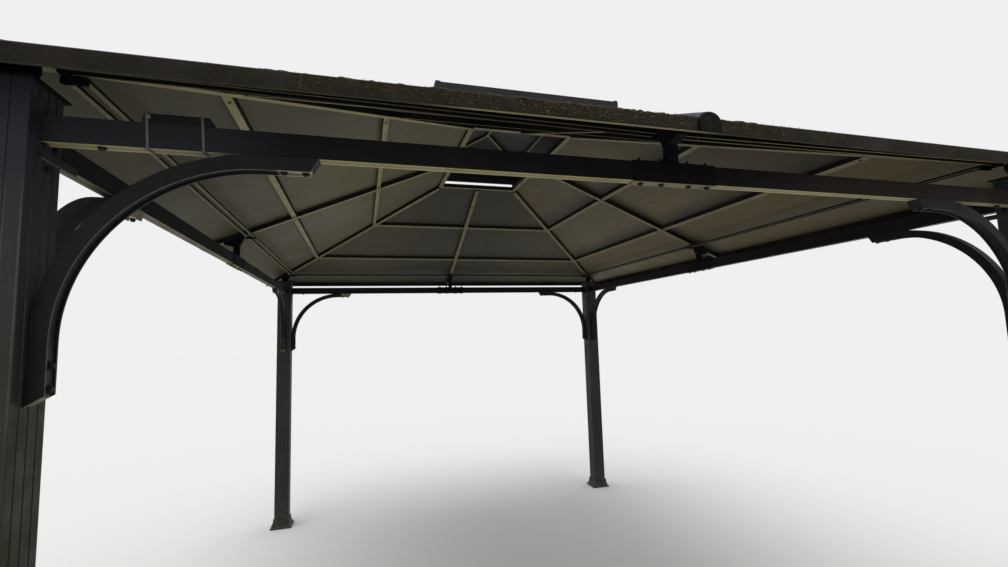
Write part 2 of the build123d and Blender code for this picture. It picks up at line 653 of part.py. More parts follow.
ridge_bottom = Plane.XY.offset(CAP_EDGE + CAP_RIDGE_RISE - CAP_BAR)
ridge_bar = prism(rectangle_outline(CAP_BAR / 2, CAP_RIDGE_Y), over=(ridge_bottom,), under=cap_slopes)
cap_space = prism(cap_inner)
with BuildPart() as cap_frame:
    add(cap_bars)
    add(ridge_bar)
    add(cap_space, mode=Mode.INTERSECT)
    with BuildSketch(Plane.XY.offset(frame_bottom)):
        Rectangle(2 * RING_X + RING_BAR + CAP_FRAME_BAR, 2 * RING_Y + RING_BAR + CAP_FRAME_BAR)
        Rectangle(
            2 * RING_X + RING_BAR - CAP_FRAME_BAR,
            2 * RING_Y + RING_BAR - CAP_FRAME_BAR,
            mode=Mode.SUBTRACT,
        )
    extrude(amount=CAP_FRAME_BAR)
write(cap_frame.part, "cap_frame")

# Cap posts: square studs from the vent ring's corners up to the cap frame
with BuildPart() as cap_posts:
    with BuildSketch(Plane.XY.offset(RING_BOTTOM + RING_HEIGHT)):
        with GridLocations(2 * RING_X + RING_BAR, 2 * RING_Y + RING_BAR, 2, 2):
            Rectangle(CAP_POST_WIDTH, CAP_POST_WIDTH)
    extrude(amount=frame_bottom - RING_BOTTOM - RING_HEIGHT)
write(cap_posts.part, "cap_posts")

# Cap fascia: a thin upright band with an inward bottom flange
with BuildPart() as cap_fascia:
    with BuildSketch(Plane.XY.offset(CAP_FASCIA_BOTTOM)):
        Rectangle(2 * CAP_X, 2 * CAP_Y)
        Rectangle(2 * (CAP_X - CAP_FASCIA_FLANGE), 2 * (CAP_Y - CAP_FASCIA_FLANGE), mode=Mode.SUBTRACT)
    extrude(amount=CAP_FASCIA_WALL)
    with BuildSketch(Plane.XY.offset(CAP_FASCIA_BOTTOM)):
        Rectangle(2 * CAP_X, 2 * CAP_Y)
        Rectangle(2 * (CAP_X - CAP_FASCIA_WALL), 2 * (CAP_Y - CAP_FASCIA_WALL), mode=Mode.SUBTRACT)
    extrude(amount=CAP_FASCIA_HEIGHT)
write(cap_fascia.part, "cap_fascia")

# Cap panels: four sheets that meet at the hips and the ridge
cap_sheets = []
for side in SIDES:
    seam = CAP_SEAM / 2 * hypot(1, 1)  # the cap's hips run at 45 degrees
    ridge_half = CAP_RIDGE_Y if side.out.X else 0.0
    ridge_out = CAP_SEAM / 2 if side.out.X else CAP_RIDGE_Y + seam
    outline = [
        side.flat(side.cap, side.cap_along - seam),
        side.flat(side.cap, seam - side.cap_along),
        side.flat(ridge_out, -ridge_half),
    ]
    if ridge_half:
        outline.append(side.flat(ridge_out, ridge_half))
    cap_sheets.append(prism(outline, over=(side.cap_slope(0),), under=(side.cap_slope(CAP_PANEL_THICK),)))
with BuildPart() as cap_panels:
    add(cap_sheets)
write(cap_panels.part, "cap_panels")
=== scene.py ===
import bmesh
import bpy
import numpy as np
from mathutils import Matrix


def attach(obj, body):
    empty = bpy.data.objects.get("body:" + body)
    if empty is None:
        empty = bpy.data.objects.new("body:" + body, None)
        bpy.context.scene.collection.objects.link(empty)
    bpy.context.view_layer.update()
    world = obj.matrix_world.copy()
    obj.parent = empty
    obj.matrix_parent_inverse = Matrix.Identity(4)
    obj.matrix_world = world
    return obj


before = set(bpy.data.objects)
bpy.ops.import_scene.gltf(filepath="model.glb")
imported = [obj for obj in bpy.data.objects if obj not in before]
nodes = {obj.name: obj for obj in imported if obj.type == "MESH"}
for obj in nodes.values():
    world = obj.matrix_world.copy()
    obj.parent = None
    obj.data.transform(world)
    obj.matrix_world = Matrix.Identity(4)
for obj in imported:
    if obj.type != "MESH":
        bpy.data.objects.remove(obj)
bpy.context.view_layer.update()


# Viewpoint. The eye stands just outside the near short side, left of its middle, at head height
# and looks up under the roof with a wide lens. All lengths are metres.
EYE = (-0.8977, -3.1502, 1.7087)
YAW, PITCH, ROLL = np.radians((16.374, 5.673, -1.740))
FOCAL_LENGTH = 17.419  # mm on a 36 mm wide sensor

forward = np.array([np.sin(YAW) * np.cos(PITCH), np.cos(YAW) * np.cos(PITCH), np.sin(PITCH)])
level_right = np.array([np.cos(YAW), -np.sin(YAW), 0.0])
level_up = np.cross(level_right, forward)
right = np.cos(ROLL) * level_right + np.sin(ROLL) * level_up
up = np.cos(ROLL) * level_up - np.sin(ROLL) * level_right
lens = bpy.data.cameras.new("eye")
lens.lens, lens.sensor_width = FOCAL_LENGTH, 36.0
lens.clip_start, lens.clip_end = 0.05, 200.0
eye = bpy.data.objects.new("eye", lens)
bpy.context.scene.collection.objects.link(eye)
turned_axes = Matrix(np.column_stack((right, up, -forward)).tolist()).to_4x4()
eye.matrix_world = Matrix.Translation(EYE) @ turned_axes
bpy.context.scene.camera = eye
bpy.context.scene.view_settings.view_transform = "Standard"


# Studio. A pale level floor in a pale room that glows evenly, and one very soft lamp high overhead
# that lights the floor and draws the shadow under the roof.
FLOOR_SIZE = 160.0
FLOOR_COLOUR = (0.83, 0.825, 0.81, 1.0)
ROOM_GLOW = 0.72
BACKDROP = 0.87
OVERHEAD_STRENGTH, OVERHEAD_SPREAD = 1.10, np.radians(60.0)
OVERHEAD_LEAN = np.radians((12.0, -14.0, 0.0))
WHITE = (1.0, 1.0, 1.0, 1.0)

floor_material = bpy.data.materials.new("floor")
floor_material.use_nodes = True
paint = floor_material.node_tree.nodes["Principled BSDF"].inputs
paint["Base Color"].default_value = FLOOR_COLOUR
paint["Roughness"].default_value = 0.95
paint["Specular IOR Level"].default_value = 0.05
half = FLOOR_SIZE / 2
floor_corners = [(-half, -half, 0), (half, -half, 0), (half, half, 0), (-half, half, 0)]
floor_mesh = bpy.data.meshes.new("floor")
floor_mesh.from_pydata(floor_corners, [], [(0, 1, 2, 3)])
floor_mesh.materials.append(floor_material)
floor = bpy.data.objects.new("floor", floor_mesh)
bpy.context.scene.collection.objects.link(floor)

overhead = bpy.data.objects.new("overhead", bpy.data.lights.new("overhead", "SUN"))
overhead.data.energy, overhead.data.angle = OVERHEAD_STRENGTH, OVERHEAD_SPREAD
overhead.rotation_euler = OVERHEAD_LEAN
bpy.context.scene.collection.objects.link(overhead)

world = bpy.data.worlds.new("room")
bpy.context.scene.world = world
world.use_nodes = True
air = world.node_tree
air.nodes.clear()


def air_node(kind, *inputs):
    """Adds a node to the room's light, and sets or links its first sockets in turn."""
    made = air.nodes.new(kind)
    for socket, value in zip(made.inputs, inputs):
        if isinstance(value, bpy.types.NodeSocket):
            air.links.new(value, socket)
        else:
            socket.default_value = value
    return made


def either_of(first, second):
    """1 where one or both of two sockets are 1."""
    made = air_node("ShaderNodeMath", first, second)
    made.operation = "MAXIMUM"
    return made.outputs[0]


ray = air_node("ShaderNodeLightPath").outputs
seen = either_of(either_of(ray["Is Camera Ray"], ray["Is Transmission Ray"]), ray["Is Glossy Ray"])
glow = air_node("ShaderNodeBackground", WHITE, ROOM_GLOW)
backdrop = air_node("ShaderNodeBackground", WHITE, BACKDROP)
room = air_node("ShaderNodeMixShader", seen, glow.outputs[0], backdrop.outputs[0])
air_node("ShaderNodeOutputWorld", room.outputs[0])


# Posts and base covers. Rolled square steel tubes with three grooves a face, in matt charcoal
# powder coat with an orange-peel skin. Rain has left olive grime on them, most of it low down.
class Amount:
    """A number that varies over a surface: one socket, with arithmetic that adds Math nodes."""

    def __init__(self, finish, socket):
        self.finish = finish
        self.socket = socket

    def _math(self, operation, *values):
        return self.finish.node("ShaderNodeMath", {"operation": operation}, dict(enumerate(values)))

    def __add__(self, other):
        return self._math("ADD", self, other)

    __radd__ = __add__

    def __sub__(self, other):
        return self._math("SUBTRACT", self, other)

    def __rsub__(self, other):
        return self._math("SUBTRACT", other, self)

    def __mul__(self, other):
        return self._math("MULTIPLY", self, other)

    __rmul__ = __mul__

    def __abs__(self):
        return self._math("ABSOLUTE", self)

    def between(self, low, high):
        """0 at low, 1 at high and a smooth change in between."""
        settings = {"interpolation_type": "SMOOTHSTEP"}
        values = {"Value": self, "From Min": low, "From Max": high}
        return self.finish.node("ShaderNodeMapRange", settings, values)

    def at_least(self, other):
        """The larger of two amounts."""
        return self._math("MAXIMUM", self, other)


class Finish:
    """A surface finish: a Principled shader and the nodes that feed it."""

    def __init__(self, name, specular=0.25, **fixed):
        self.material = bpy.data.materials.new(name)
        self.material.use_nodes = True
        self.tree = self.material.node_tree
        self.tree.nodes.clear()
        self.shader = self.tree.nodes.new("ShaderNodeBsdfPrincipled")
        output = self.tree.nodes.new("ShaderNodeOutputMaterial")
        self.tree.links.new(self.shader.outputs[0], output.inputs["Surface"])
        self.shader.inputs["Specular IOR Level"].default_value = specular
        for socket, value in fixed.items():
            self.shader.inputs[socket].default_value = value
        self.place = self.node("ShaderNodeTexCoord", output="Object")

    def put(self, socket, value):
        """Sets a socket to a value or links it."""
        if isinstance(value, Amount):
            self.tree.links.new(value.socket, socket)
        elif isinstance(value, tuple) and len(value) == 3 and len(socket.default_value) == 4:
            socket.default_value = (*value, 1.0)
        else:
            socket.default_value = value

    def node(self, kind, settings=None, inputs=None, output=0):
        """Adds a node with its settings and its sockets' values, and returns one of its outputs."""
        made = self.tree.nodes.new(kind)
        for name, value in (settings or {}).items():
            setattr(made, name, value)
        for name, value in (inputs or {}).items():
            self.put(made.inputs[name], value)
        return Amount(self, made.outputs[output])

    def spot(self, stretch=(1.0, 1.0, 1.0), shift=(0.0, 0.0, 0.0), turn=(0.0, 0.0, 0.0)):
        """Object coordinates, turned, stretched by factors along the axes and shifted."""
        values = {"Vector": self.place, "Scale": stretch, "Location": shift, "Rotation": turn}
        return self.node("ShaderNodeMapping", None, values)

    def noise(self, scale, detail=3.0, roughness=0.5, **placed):
        """Cloudy pattern from 0 to 1, scale in repeats a metre."""
        values = {"Vector": self.spot(**placed), "Scale": scale, "Detail": detail, "Roughness": roughness}
        return self.node("ShaderNodeTexNoise", None, values)

    def specks(self, scale, size, **placed):
        """1 in small round specks, scale cells a metre, size as a share of a cell, and 0 between them."""
        values = {"Vector": self.spot(**placed), "Scale": scale}
        return self.node("ShaderNodeTexVoronoi", None, values, output="Distance").between(size, size * 0.6)

    def facing(self, axis):
        """Part of the true surface normal along an axis, from -1 to 1."""
        normal = self.node("ShaderNodeNewGeometry", output="True Normal")
        return self.node("ShaderNodeSeparateXYZ", None, {0: normal}, output=axis)

    def along(self, axis):
        """Object coordinate along an axis, in metres."""
        return self.node("ShaderNodeSeparateXYZ", None, {0: self.place}, output=axis)

    def blend(self, amount, first, second):
        """Colour that goes from first to second as amount goes from 0 to 1."""
        values = {0: amount, 6: first, 7: second}
        return self.node("ShaderNodeMix", {"data_type": "RGBA"}, values, output=2)

    def colour(self, value):
        self.put(self.shader.inputs["Base Color"], value)

    def roughness(self, value):
        self.put(self.shader.inputs["Roughness"], value)

    def relief(self, height, depth, softened_edge=0.0):
        """Bumps as deep as depth metres where height is 1, over edges rounded to a radius."""
        values = {"Height": height, "Distance": depth, "Strength": 1.0}
        if softened_edge:
            values["Normal"] = self.node("ShaderNodeBevel", {"samples": 4}, {"Radius": softened_edge})
        self.put(self.shader.inputs["Normal"], self.node("ShaderNodeBump", None, values))

    def orange_peel(self, softened_edge):
        """The skin of baked powder: tiny dimples, over edges rounded to a radius."""
        self.relief(self.noise(PEEL_SCALE, 2.0), PEEL_DEPTH, softened_edge)


PEEL_SCALE, PEEL_DEPTH = 420.0, 0.00012
POST_COAT = (0.0165, 0.0172, 0.0190)
POST_COAT_GREY = (0.0265, 0.0270, 0.0275)
POST_HEAD_SHADE = (0.0120, 0.0150, 0.0220)  # painted bluish shade on the coat under the eaves
POST_GRIME = (0.0215, 0.0198, 0.0060)
# painted light: the grooves' colour is lifted against the shade that falls in them
POST_GROOVE_LIGHT = (0.0800, 0.0800, 0.0780)
POST_DUST = (0.1100, 0.1000, 0.0850)
POST_SEAM = (0.0040, 0.0040, 0.0040)
GRIME_TOP, GRIME_FULL = 2.0, 1.2  # heights where the grime starts and where it is thickest
HEAD_START, HEAD_FULL = 1.90, 2.10  # heights between which the head's painted shade takes over
SPLASH_TOP = 0.42  # height that rain splashes up to
FACE_DEPTH, GROOVE_DEPTH = 0.0599, 0.0589  # just under the face and in a groove, from the middle
POST_X, POST_Y = 1.600, 1.923  # the posts' middles
SEAM_HEIGHT = 2.076


def post_coat():
    """Charcoal coat with painted light in the grooves, olive grime below, painted bluish shade on the head,
    and dust on what faces up.
    """
    finish = Finish("post_coat", specular=0.22)
    clouds = finish.noise(5.0, 4.0).between(0.35, 0.68)
    runs = finish.noise(26.0, 4.0, stretch=(1.0, 1.0, 0.05)).between(0.45, 0.72)
    coat = finish.blend(0.6 * clouds + 0.4 * runs, POST_COAT, POST_COAT_GREY)
    low = finish.along("Z").between(GRIME_TOP, GRIME_FULL)
    blots = finish.noise(11.0, 5.0, roughness=0.6, shift=(3.0, 5.0, 1.0)).between(0.36, 0.64)
    head = finish.along("Z").between(HEAD_START, HEAD_FULL)
    far = finish.along("Y").between(-0.5, 0.5)
    grime = (0.2 + 0.8 * low) * (0.70 + 0.30 * blots) * (1.0 - 0.7 * far)
    off = abs(abs(finish.along("X")) - POST_X).at_least(abs(abs(finish.along("Y")) - POST_Y))
    # Painted light in the grooves, which lifts their shade.
    coat = finish.blend(0.8 * off.between(FACE_DEPTH, GROOVE_DEPTH), coat, POST_GROOVE_LIGHT)
    # Painted shade: the head is darker and bluish under the eaves, and the grooves fade into it.
    coat = finish.blend(0.85 * head, coat, POST_HEAD_SHADE)
    stained = finish.blend(grime * (1.0 - head), coat, POST_GRIME)
    seam = abs(finish.along("Z") - SEAM_HEIGHT).between(0.0018, 0.0004)
    stained = finish.blend(0.5 * seam, stained, POST_SEAM)
    splash = finish.along("Z").between(SPLASH_TOP, 0.0) * finish.noise(60.0, 4.0).between(0.42, 0.66)
    lying = finish.facing("Z").between(0.35, 0.9) * (0.4 + 0.6 * finish.noise(90.0, 4.0))
    nicks = finish.specks(14.0, 0.045, shift=(2.0, 0.0, 7.0))
    dust = (0.5 * splash).at_least(lying).at_least(0.5 * nicks)
    finish.colour(finish.blend(dust, stained, POST_DUST))
    finish.roughness(0.50 + 0.16 * blots + 0.20 * dust)
    finish.orange_peel(0.0012)
    return finish.material


def finish_nodes(material, *beginnings):
    """Gives its material to each carried-over node whose name begins in one of these ways."""
    for name, node in nodes.items():
        if name.startswith(beginnings):
            node.data.materials.clear()
            node.data.materials.append(material)


finish_nodes(post_coat(), "post_", "base_covers")


# Cover screws. Domed heads in dark zinc plate, one low in the middle of each skirt face, that
# hold the base covers in place.
COVER_FACE = 0.0860  # from the post's middle to the skirt's face at screw height
SCREW_HEIGHT = 0.0165
SCREW_LEAN = 0.25  # rise of the screws' axes, square to the flared skirt
SCREW_PROFILE = ((0.0052, 0.0), (0.0052, 0.0008), (0.0046, 0.0020), (0.0030, 0.0028), (0.0012, 0.0030))
SCREW_SIDES = 12
SHARP_ANGLE = np.radians(40.0)  # smooth pieces keep the edges above this


def turned(profile, sides, wobble=0.0):
    """Grid of a (radius, height) profile carried round Z: x = r cos a, y = r sin a, z = height.

    A wobble above 0 swells the radius by that share in three lobes.
    """
    angle = np.arange(sides) * 2 * np.pi / sides
    radius, height = np.array(profile).T
    radius = radius[:, None] * (1.0 + wobble * np.sin(3 * angle + 1.0))
    height = np.repeat(height[:, None], sides, 1)
    return np.stack((radius * np.cos(angle), radius * np.sin(angle), height), -1)


def unit(vectors):
    """Vectors scaled to length 1."""
    vectors = np.asarray(vectors, float)
    return vectors / np.linalg.norm(vectors, axis=-1, keepdims=True)


def set_at(shape, places, axes, sizes=None):
    """Copies of a grid, each with its Z turned to an axis: place + size * (x side + y third + z axis)."""
    places = np.asarray(places, float)
    axes = unit(np.broadcast_to(axes, places.shape))
    upright = np.abs(axes[:, 2:]) > 0.9
    side = unit(np.cross(np.where(upright, (0.0, 1.0, 0.0), (0.0, 0.0, 1.0)), axes))
    frames = np.stack((side, np.cross(axes, side), axes), 1)
    sizes = np.ones(3) if sizes is None else np.asarray(sizes, float)
    scaled = shape * (sizes[:, None, None, :] if sizes.ndim == 2 else sizes)
    return scaled @ frames[:, None] + places[:, None, None]


def skin(name, grids, material, smooth=False, ends=True):
    """Closed piece of quads over grids of shape (copies, rows, columns, 3).

    The last column joins the first. The rows end flat, or without ends the last joins the first.
    """
    grids = np.asarray(grids, float)
    if grids.ndim == 3:
        grids = grids[None]
    copies, rows, columns, _ = grids.shape
    index = np.arange(copies * rows * columns).reshape(copies, rows, columns)
    caps = index[:, 0, ::-1].tolist() + index[:, -1].tolist() if ends else []
    if not ends:
        index = np.concatenate((index, index[:, :1]), 1)
    beside = np.roll(index, -1, 2)
    quads = np.stack((index[:, :-1], beside[:, :-1], beside[:, 1:], index[:, 1:]), -1).reshape(-1, 4)
    faces = quads.tolist() + caps
    mesh = bpy.data.meshes.new(name)
    mesh.from_pydata(grids.reshape(-1, 3).tolist(), [], faces)
    body = bmesh.new()
    body.from_mesh(mesh)
    bmesh.ops.recalc_face_normals(body, faces=body.faces)
    body.to_mesh(mesh)
    body.free()
    if smooth:
        mesh.polygons.foreach_set("use_smooth", np.ones(len(mesh.polygons), bool))
        mesh.set_sharp_from_angle(angle=SHARP_ANGLE)
    mesh.materials.append(material)
    piece = bpy.data.objects.new(name, mesh)
    bpy.context.scene.collection.objects.link(piece)
    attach(piece, "root")


BOLT_ZINC = (0.0150, 0.0140, 0.0130)
BOLT_DULL = (0.0060, 0.0058, 0.0058)
BOLT_BROWN = (0.0220, 0.0130, 0.0080)


def bolt_finish():
    """Dark zinc plate, dulled in patches, with a trace of brown."""
    finish = Finish("bolt_zinc", specular=0.15, Metallic=0.2)
    dull = finish.noise(240.0, 3.0).between(0.35, 0.62)
    brown = finish.noise(130.0, 4.0, shift=(4.0, 1.0, 2.0)).between(0.60, 0.72)
    finish.colour(finish.blend(0.5 * brown, finish.blend(dull, BOLT_ZINC, BOLT_DULL), BOLT_BROWN))
    finish.roughness(0.48 + 0.25 * dull)
    finish.relief(dull, 0.0001, 0.0004)
    return finish.material


dark_zinc = bolt_finish()
screw_head = turned(SCREW_PROFILE, SCREW_SIDES)
post_signs = np.array([(-1, -1), (-1, 1), (1, -1), (1, 1)])
foot = np.repeat(post_signs * (POST_X, POST_Y), 4, 0)
way = np.tile(np.array([(1, 0), (-1, 0), (0, 1), (0, -1)], float), (4, 1))
screw_places = np.column_stack((foot + way * COVER_FACE, np.full(len(foot), SCREW_HEIGHT)))
screw_axes = np.column_stack((way, np.full(len(way), SCREW_LEAN)))
cover_screws = set_at(screw_head, screw_places, screw_axes)
skin("base_cover_screws", cover_screws, dark_zinc, smooth=True)


# Header beams. Cold-rolled open channels in the same powder coat, nearly black, with their lips
# turned in underneath. What faces down has painted light on it, brightest on the two lips.
COAT = (0.0050, 0.0050, 0.0060)
COAT_WORN = (0.0095, 0.0090, 0.0092)
UNDERSIDE_LIGHT = (0.1500, 0.1330, 0.0700)  # painted light on the undersides, as if from the ground
# paler painted light on some undersides
UNDERSIDE_LIGHT_BRIGHT = (0.2300, 0.2050, 0.0950)
BEAM_LEFT_LIGHT = (0.0185, 0.0195, 0.0240)  # painted light, bluish grey, on the near beam's left end
BEAM_RIGHT_LIGHT = (0.0165, 0.0120, 0.0082)  # painted light, brownish, on its right end
# painted shade in the near beam's middle
BEAM_MIDDLE_SHADE = (0.0020, 0.0020, 0.0021)
BEAM_LIPS_LIGHT = (0.3100, 0.2750, 0.1300)  # painted light under the near beam, paler than on the others
COAT_DUST = (0.1150, 0.1050, 0.0850)
BEAM_BOTTOM, BEAM_HALF = 2.134, 0.017  # underside's height and half the width
BEAM_SLOT = 0.0085  # half width of the slot between the lips


def powder_coat(name, bloom=1.0, line_axis=None, line=0.0, slot=0.0, slot_shade=0.55, coat=COAT,
                worn=COAT_WORN, specular=0.10, tint=None, pale=UNDERSIDE_LIGHT, bright=False):
    """Near-black powder coat with painted light underneath, as much as bloom, and dust on top.

    Where a line is given, the painted light is weaker within the slot's half width of the planes at
    plus and minus that place on the axis: painted shade in the slot. Tint paints light and shade on
    the coat from place to place, and pale is the painted light's colour. Bright makes it paler over
    the left slope, and thins it on the middle rafters outside the beams.
    """
    finish = Finish(name, specular=specular)
    clouds = finish.noise(7.0, 4.0).between(0.35, 0.70)
    scuffs = finish.noise(34.0, 5.0, roughness=0.65, shift=(1.0, 4.0, 2.0)).between(0.54, 0.74)
    base = finish.blend(0.7 * clouds + 0.5 * scuffs, coat, worn)
    if tint:
        base = tint(finish, base)
    # Painted light: what faces down is paler, as if lit from the ground; bloom sets how much.
    painted_light = finish.facing("Z").between(-0.35, -0.92) * bloom
    thin = finish.noise(16.0, 4.0, shift=(5.0, 2.0, 9.0)).between(0.20, 0.75)
    painted_light = painted_light * (0.72 + 0.28 * thin)
    # Painted shade in the slot between the lips.
    if line_axis:
        off = abs(abs(finish.along(line_axis)) - line)
        painted_light = painted_light * (1.0 - slot_shade * off.between(slot + 0.0012, slot - 0.0008))
    lying = finish.facing("Z").between(0.45, 0.95) * (0.4 + 0.6 * finish.noise(90.0, 4.0))
    # Painted light, paler over the left slope, and less of it on the middle rafters outside the beams.
    if bright:
        left = finish.along("X").between(-0.3, -0.6) * finish.along("Y").between(1.3, 0.5)
        pale = finish.blend(left, pale, UNDERSIDE_LIGHT_BRIGHT)
        outside = abs(finish.along("Y")).between(1.86, 1.90) * abs(finish.along("X")).between(0.20, 0.10)
        painted_light = painted_light * (1.0 - 0.9 * outside)
    lit_coat = finish.blend(painted_light, base, pale)
    finish.colour(finish.blend(0.8 * lying, lit_coat, COAT_DUST))
    finish.roughness(0.50 + 0.14 * clouds + 0.20 * lying)
    finish.orange_peel(0.0010)
    return finish.material


def near_beam_light_and_shade(finish, base):
    """Coat of the near beam: painted shade, darkest in the middle, and painted light, bluish grey on the left
    end and brownish on the right.
    """
    base = finish.blend(0.7 * abs(finish.along("X")).between(0.70, 0.25), base, BEAM_MIDDLE_SHADE)
    base = finish.blend(0.9 * finish.along("X").between(-0.98, -1.25), base, BEAM_LEFT_LIGHT)
    return finish.blend(0.9 * finish.along("X").between(0.15, 0.75), base, BEAM_RIGHT_LIGHT)


near_coat = powder_coat("beam_coat_near", 1.0, "Y", POST_Y, BEAM_SLOT, 0.35, specular=0.07,
                        tint=near_beam_light_and_shade, pale=BEAM_LIPS_LIGHT)
finish_nodes(near_coat, "beam_near")
finish_nodes(powder_coat("beam_coat_short_side", 1.0, "Y", POST_Y, BEAM_SLOT), "beam_far")
finish_nodes(powder_coat("beam_coat_long_side", 1.0, "X", POST_X, BEAM_SLOT), "beam_left", "beam_right")


# Corner straps. Pressed steel bars on the posts' inner faces under the beams, which run on past
# the posts. Each is held by two screws above it and one below.
CLEAR_X, CLEAR_Y = 1.540, 1.863  # faces of the posts that look inwards
STRAP_LEVELS = (2.0970, 2.1160)
STRAP_REACH = (1.944, 1.812)
STRAP_THICK = 0.006
STRAP_EDGE = 0.0015
STRAP_SCREWS = ((1.928, 2.130), (1.889, 2.129), (1.912, 2.081))  # Y and height
STRAP_COAT = (0.0200, 0.0185, 0.0160)
STRAP_WORN = (0.0320, 0.0290, 0.0240)
ALONG_X, UPWARDS = np.array([1.0, 0.0, 0.0]), np.array([0.0, 0.0, 1.0])


def carried(path, across, rise, profile):
    """Grid of an (a, b) profile carried along a path: path + a * across + b * rise."""
    path, across, rise = (np.asarray(v, float)[..., None, :] for v in (path, across, rise))
    profile = np.asarray(profile, float)
    return path + profile[:, :1] * across + profile[:, 1:] * rise


def softened(outline, cut):
    """Outline with each corner cut off at the given distance, so that light catches the edge."""
    outline = np.asarray(outline, float)
    back = unit(np.roll(outline, 1, 0) - outline) * cut
    ahead = unit(np.roll(outline, -1, 0) - outline) * cut
    return np.stack((outline + back, outline + ahead), 1).reshape(-1, 2)


def rectangle(left, bottom, right, top):
    """Corners of a rectangle, anticlockwise from the lower left."""
    return [(left, bottom), (right, bottom), (right, top), (left, top)]


# The straps carry less painted underside light than the beams.
strap_coat = powder_coat("strap_coat", 0.4, coat=STRAP_COAT, worn=STRAP_WORN)
strap_section = softened(rectangle(0.0, STRAP_LEVELS[0], STRAP_THICK, STRAP_LEVELS[1]), STRAP_EDGE)
straps, strap_screws, strap_axes = [], [], []
for x_sign, y_sign in post_signs:
    ends = np.linspace(*STRAP_REACH, 5)
    path = np.column_stack((np.full(5, x_sign * CLEAR_X), y_sign * ends, np.zeros(5)))
    straps.append(carried(path, -x_sign * ALONG_X, UPWARDS, strap_section))
    for y, z in STRAP_SCREWS:
        strap_screws.append((x_sign * CLEAR_X, y_sign * y, z))
        strap_axes.append((-x_sign, 0.0, 0.0))
skin("corner_straps", straps, strap_coat)


# Flange bolts. Low hexagon heads on round flanges, in dark zinc plate, on the corner straps and
# one up through the underside of each beam's end.
BOLT_FLANGE = ((0.0095, 0.0), (0.0095, 0.0012), (0.0086, 0.0017), (0.0055, 0.0019))
BOLT_HEAD = ((0.0076, 0.0012), (0.0076, 0.0052), (0.0064, 0.0064), (0.0034, 0.0068))
STUD = ((0.0040, 0.0060), (0.0040, 0.0132), (0.0032, 0.0140))
END_BOLT = 0.101  # from the post's face


def bolts(name, places, axes, stud=False, swell=(1.0, 1.0, 1.0)):
    """Flange bolts whose axes point out of the surface that they sit on, with or without a stud's end."""
    flange, head = turned(BOLT_FLANGE, 16) * swell, turned(BOLT_HEAD, 6) * swell
    skin(name + "_flanges", set_at(flange, places, axes), dark_zinc, smooth=True)
    skin(name + "_heads", set_at(head, places, axes), dark_zinc)
    if stud:
        skin(name + "_studs", set_at(turned(STUD, 10), places, axes), dark_zinc, smooth=True)


bolts("corner_bolts", strap_screws, strap_axes)
end_bolts = [(x * (CLEAR_X - END_BOLT), y * POST_Y, BEAM_BOTTOM) for x, y in post_signs]
end_bolts += [(x * POST_X, y * (CLEAR_Y - END_BOLT), BEAM_BOTTOM) for x, y in post_signs]
bolts("beam_end_bolts", end_bolts, (0.0, 0.0, -1.0))


# Splice sleeves. Folded steel in the beams' coat over the middle joint of each beam, bolted
# through from above and below, with the studs' ends showing on top.
SLEEVE_BOTTOM, SLEEVE_TOP = 2.1312, 2.1948
SLEEVE_BOLTS = (-0.110, -0.040, 0.055, 0.120)  # from the beam's middle


def near_sleeve_shade(finish, base):
    """Coat of the sleeves: the near one has the same painted shade as the middle of its beam."""
    return finish.blend(0.9 * finish.along("Y").between(-1.8, -1.9), base, BEAM_MIDDLE_SHADE)


# Painted light under the sleeves, as under the beams, and painted shade on the near one.
finish_nodes(powder_coat("sleeve_coat", 1.1, specular=0.05, tint=near_sleeve_shade), "beam_sleeves")
for level, way, place in ((SLEEVE_BOTTOM, -1.0, "under"), (SLEEVE_TOP, 1.0, "over")):
    spots = [(along, sign * POST_Y, level) for along in SLEEVE_BOLTS for sign in (-1, 1)]
    spots += [(sign * POST_X, along, level) for along in SLEEVE_BOLTS for sign in (-1, 1)]
    bolts(f"sleeve_bolts_{place}", spots, (0.0, 0.0, way), stud=place == "over")


# Curved braces. Rolled channels, bent round the corner, with a dark open channel between two thin
# lips underneath and slanted ends. Two bolts at each end hold them to the beam and to the post.
BRACE_COAT = (0.0068, 0.0068, 0.0078)
BRACE_WORN = (0.0130, 0.0122, 0.0125)
# painted light on the braces' upper ends
BRACE_END_LIGHT = (0.3300, 0.3050, 0.2050)
BRACE_CHANNEL = 0.0150  # half width of the channel
BRACE_FLOOR = 0.029  # from the post or the beam to the channel's floor
BRACE_BOLTS = (0.466, 0.514)  # from the corner of post and beam


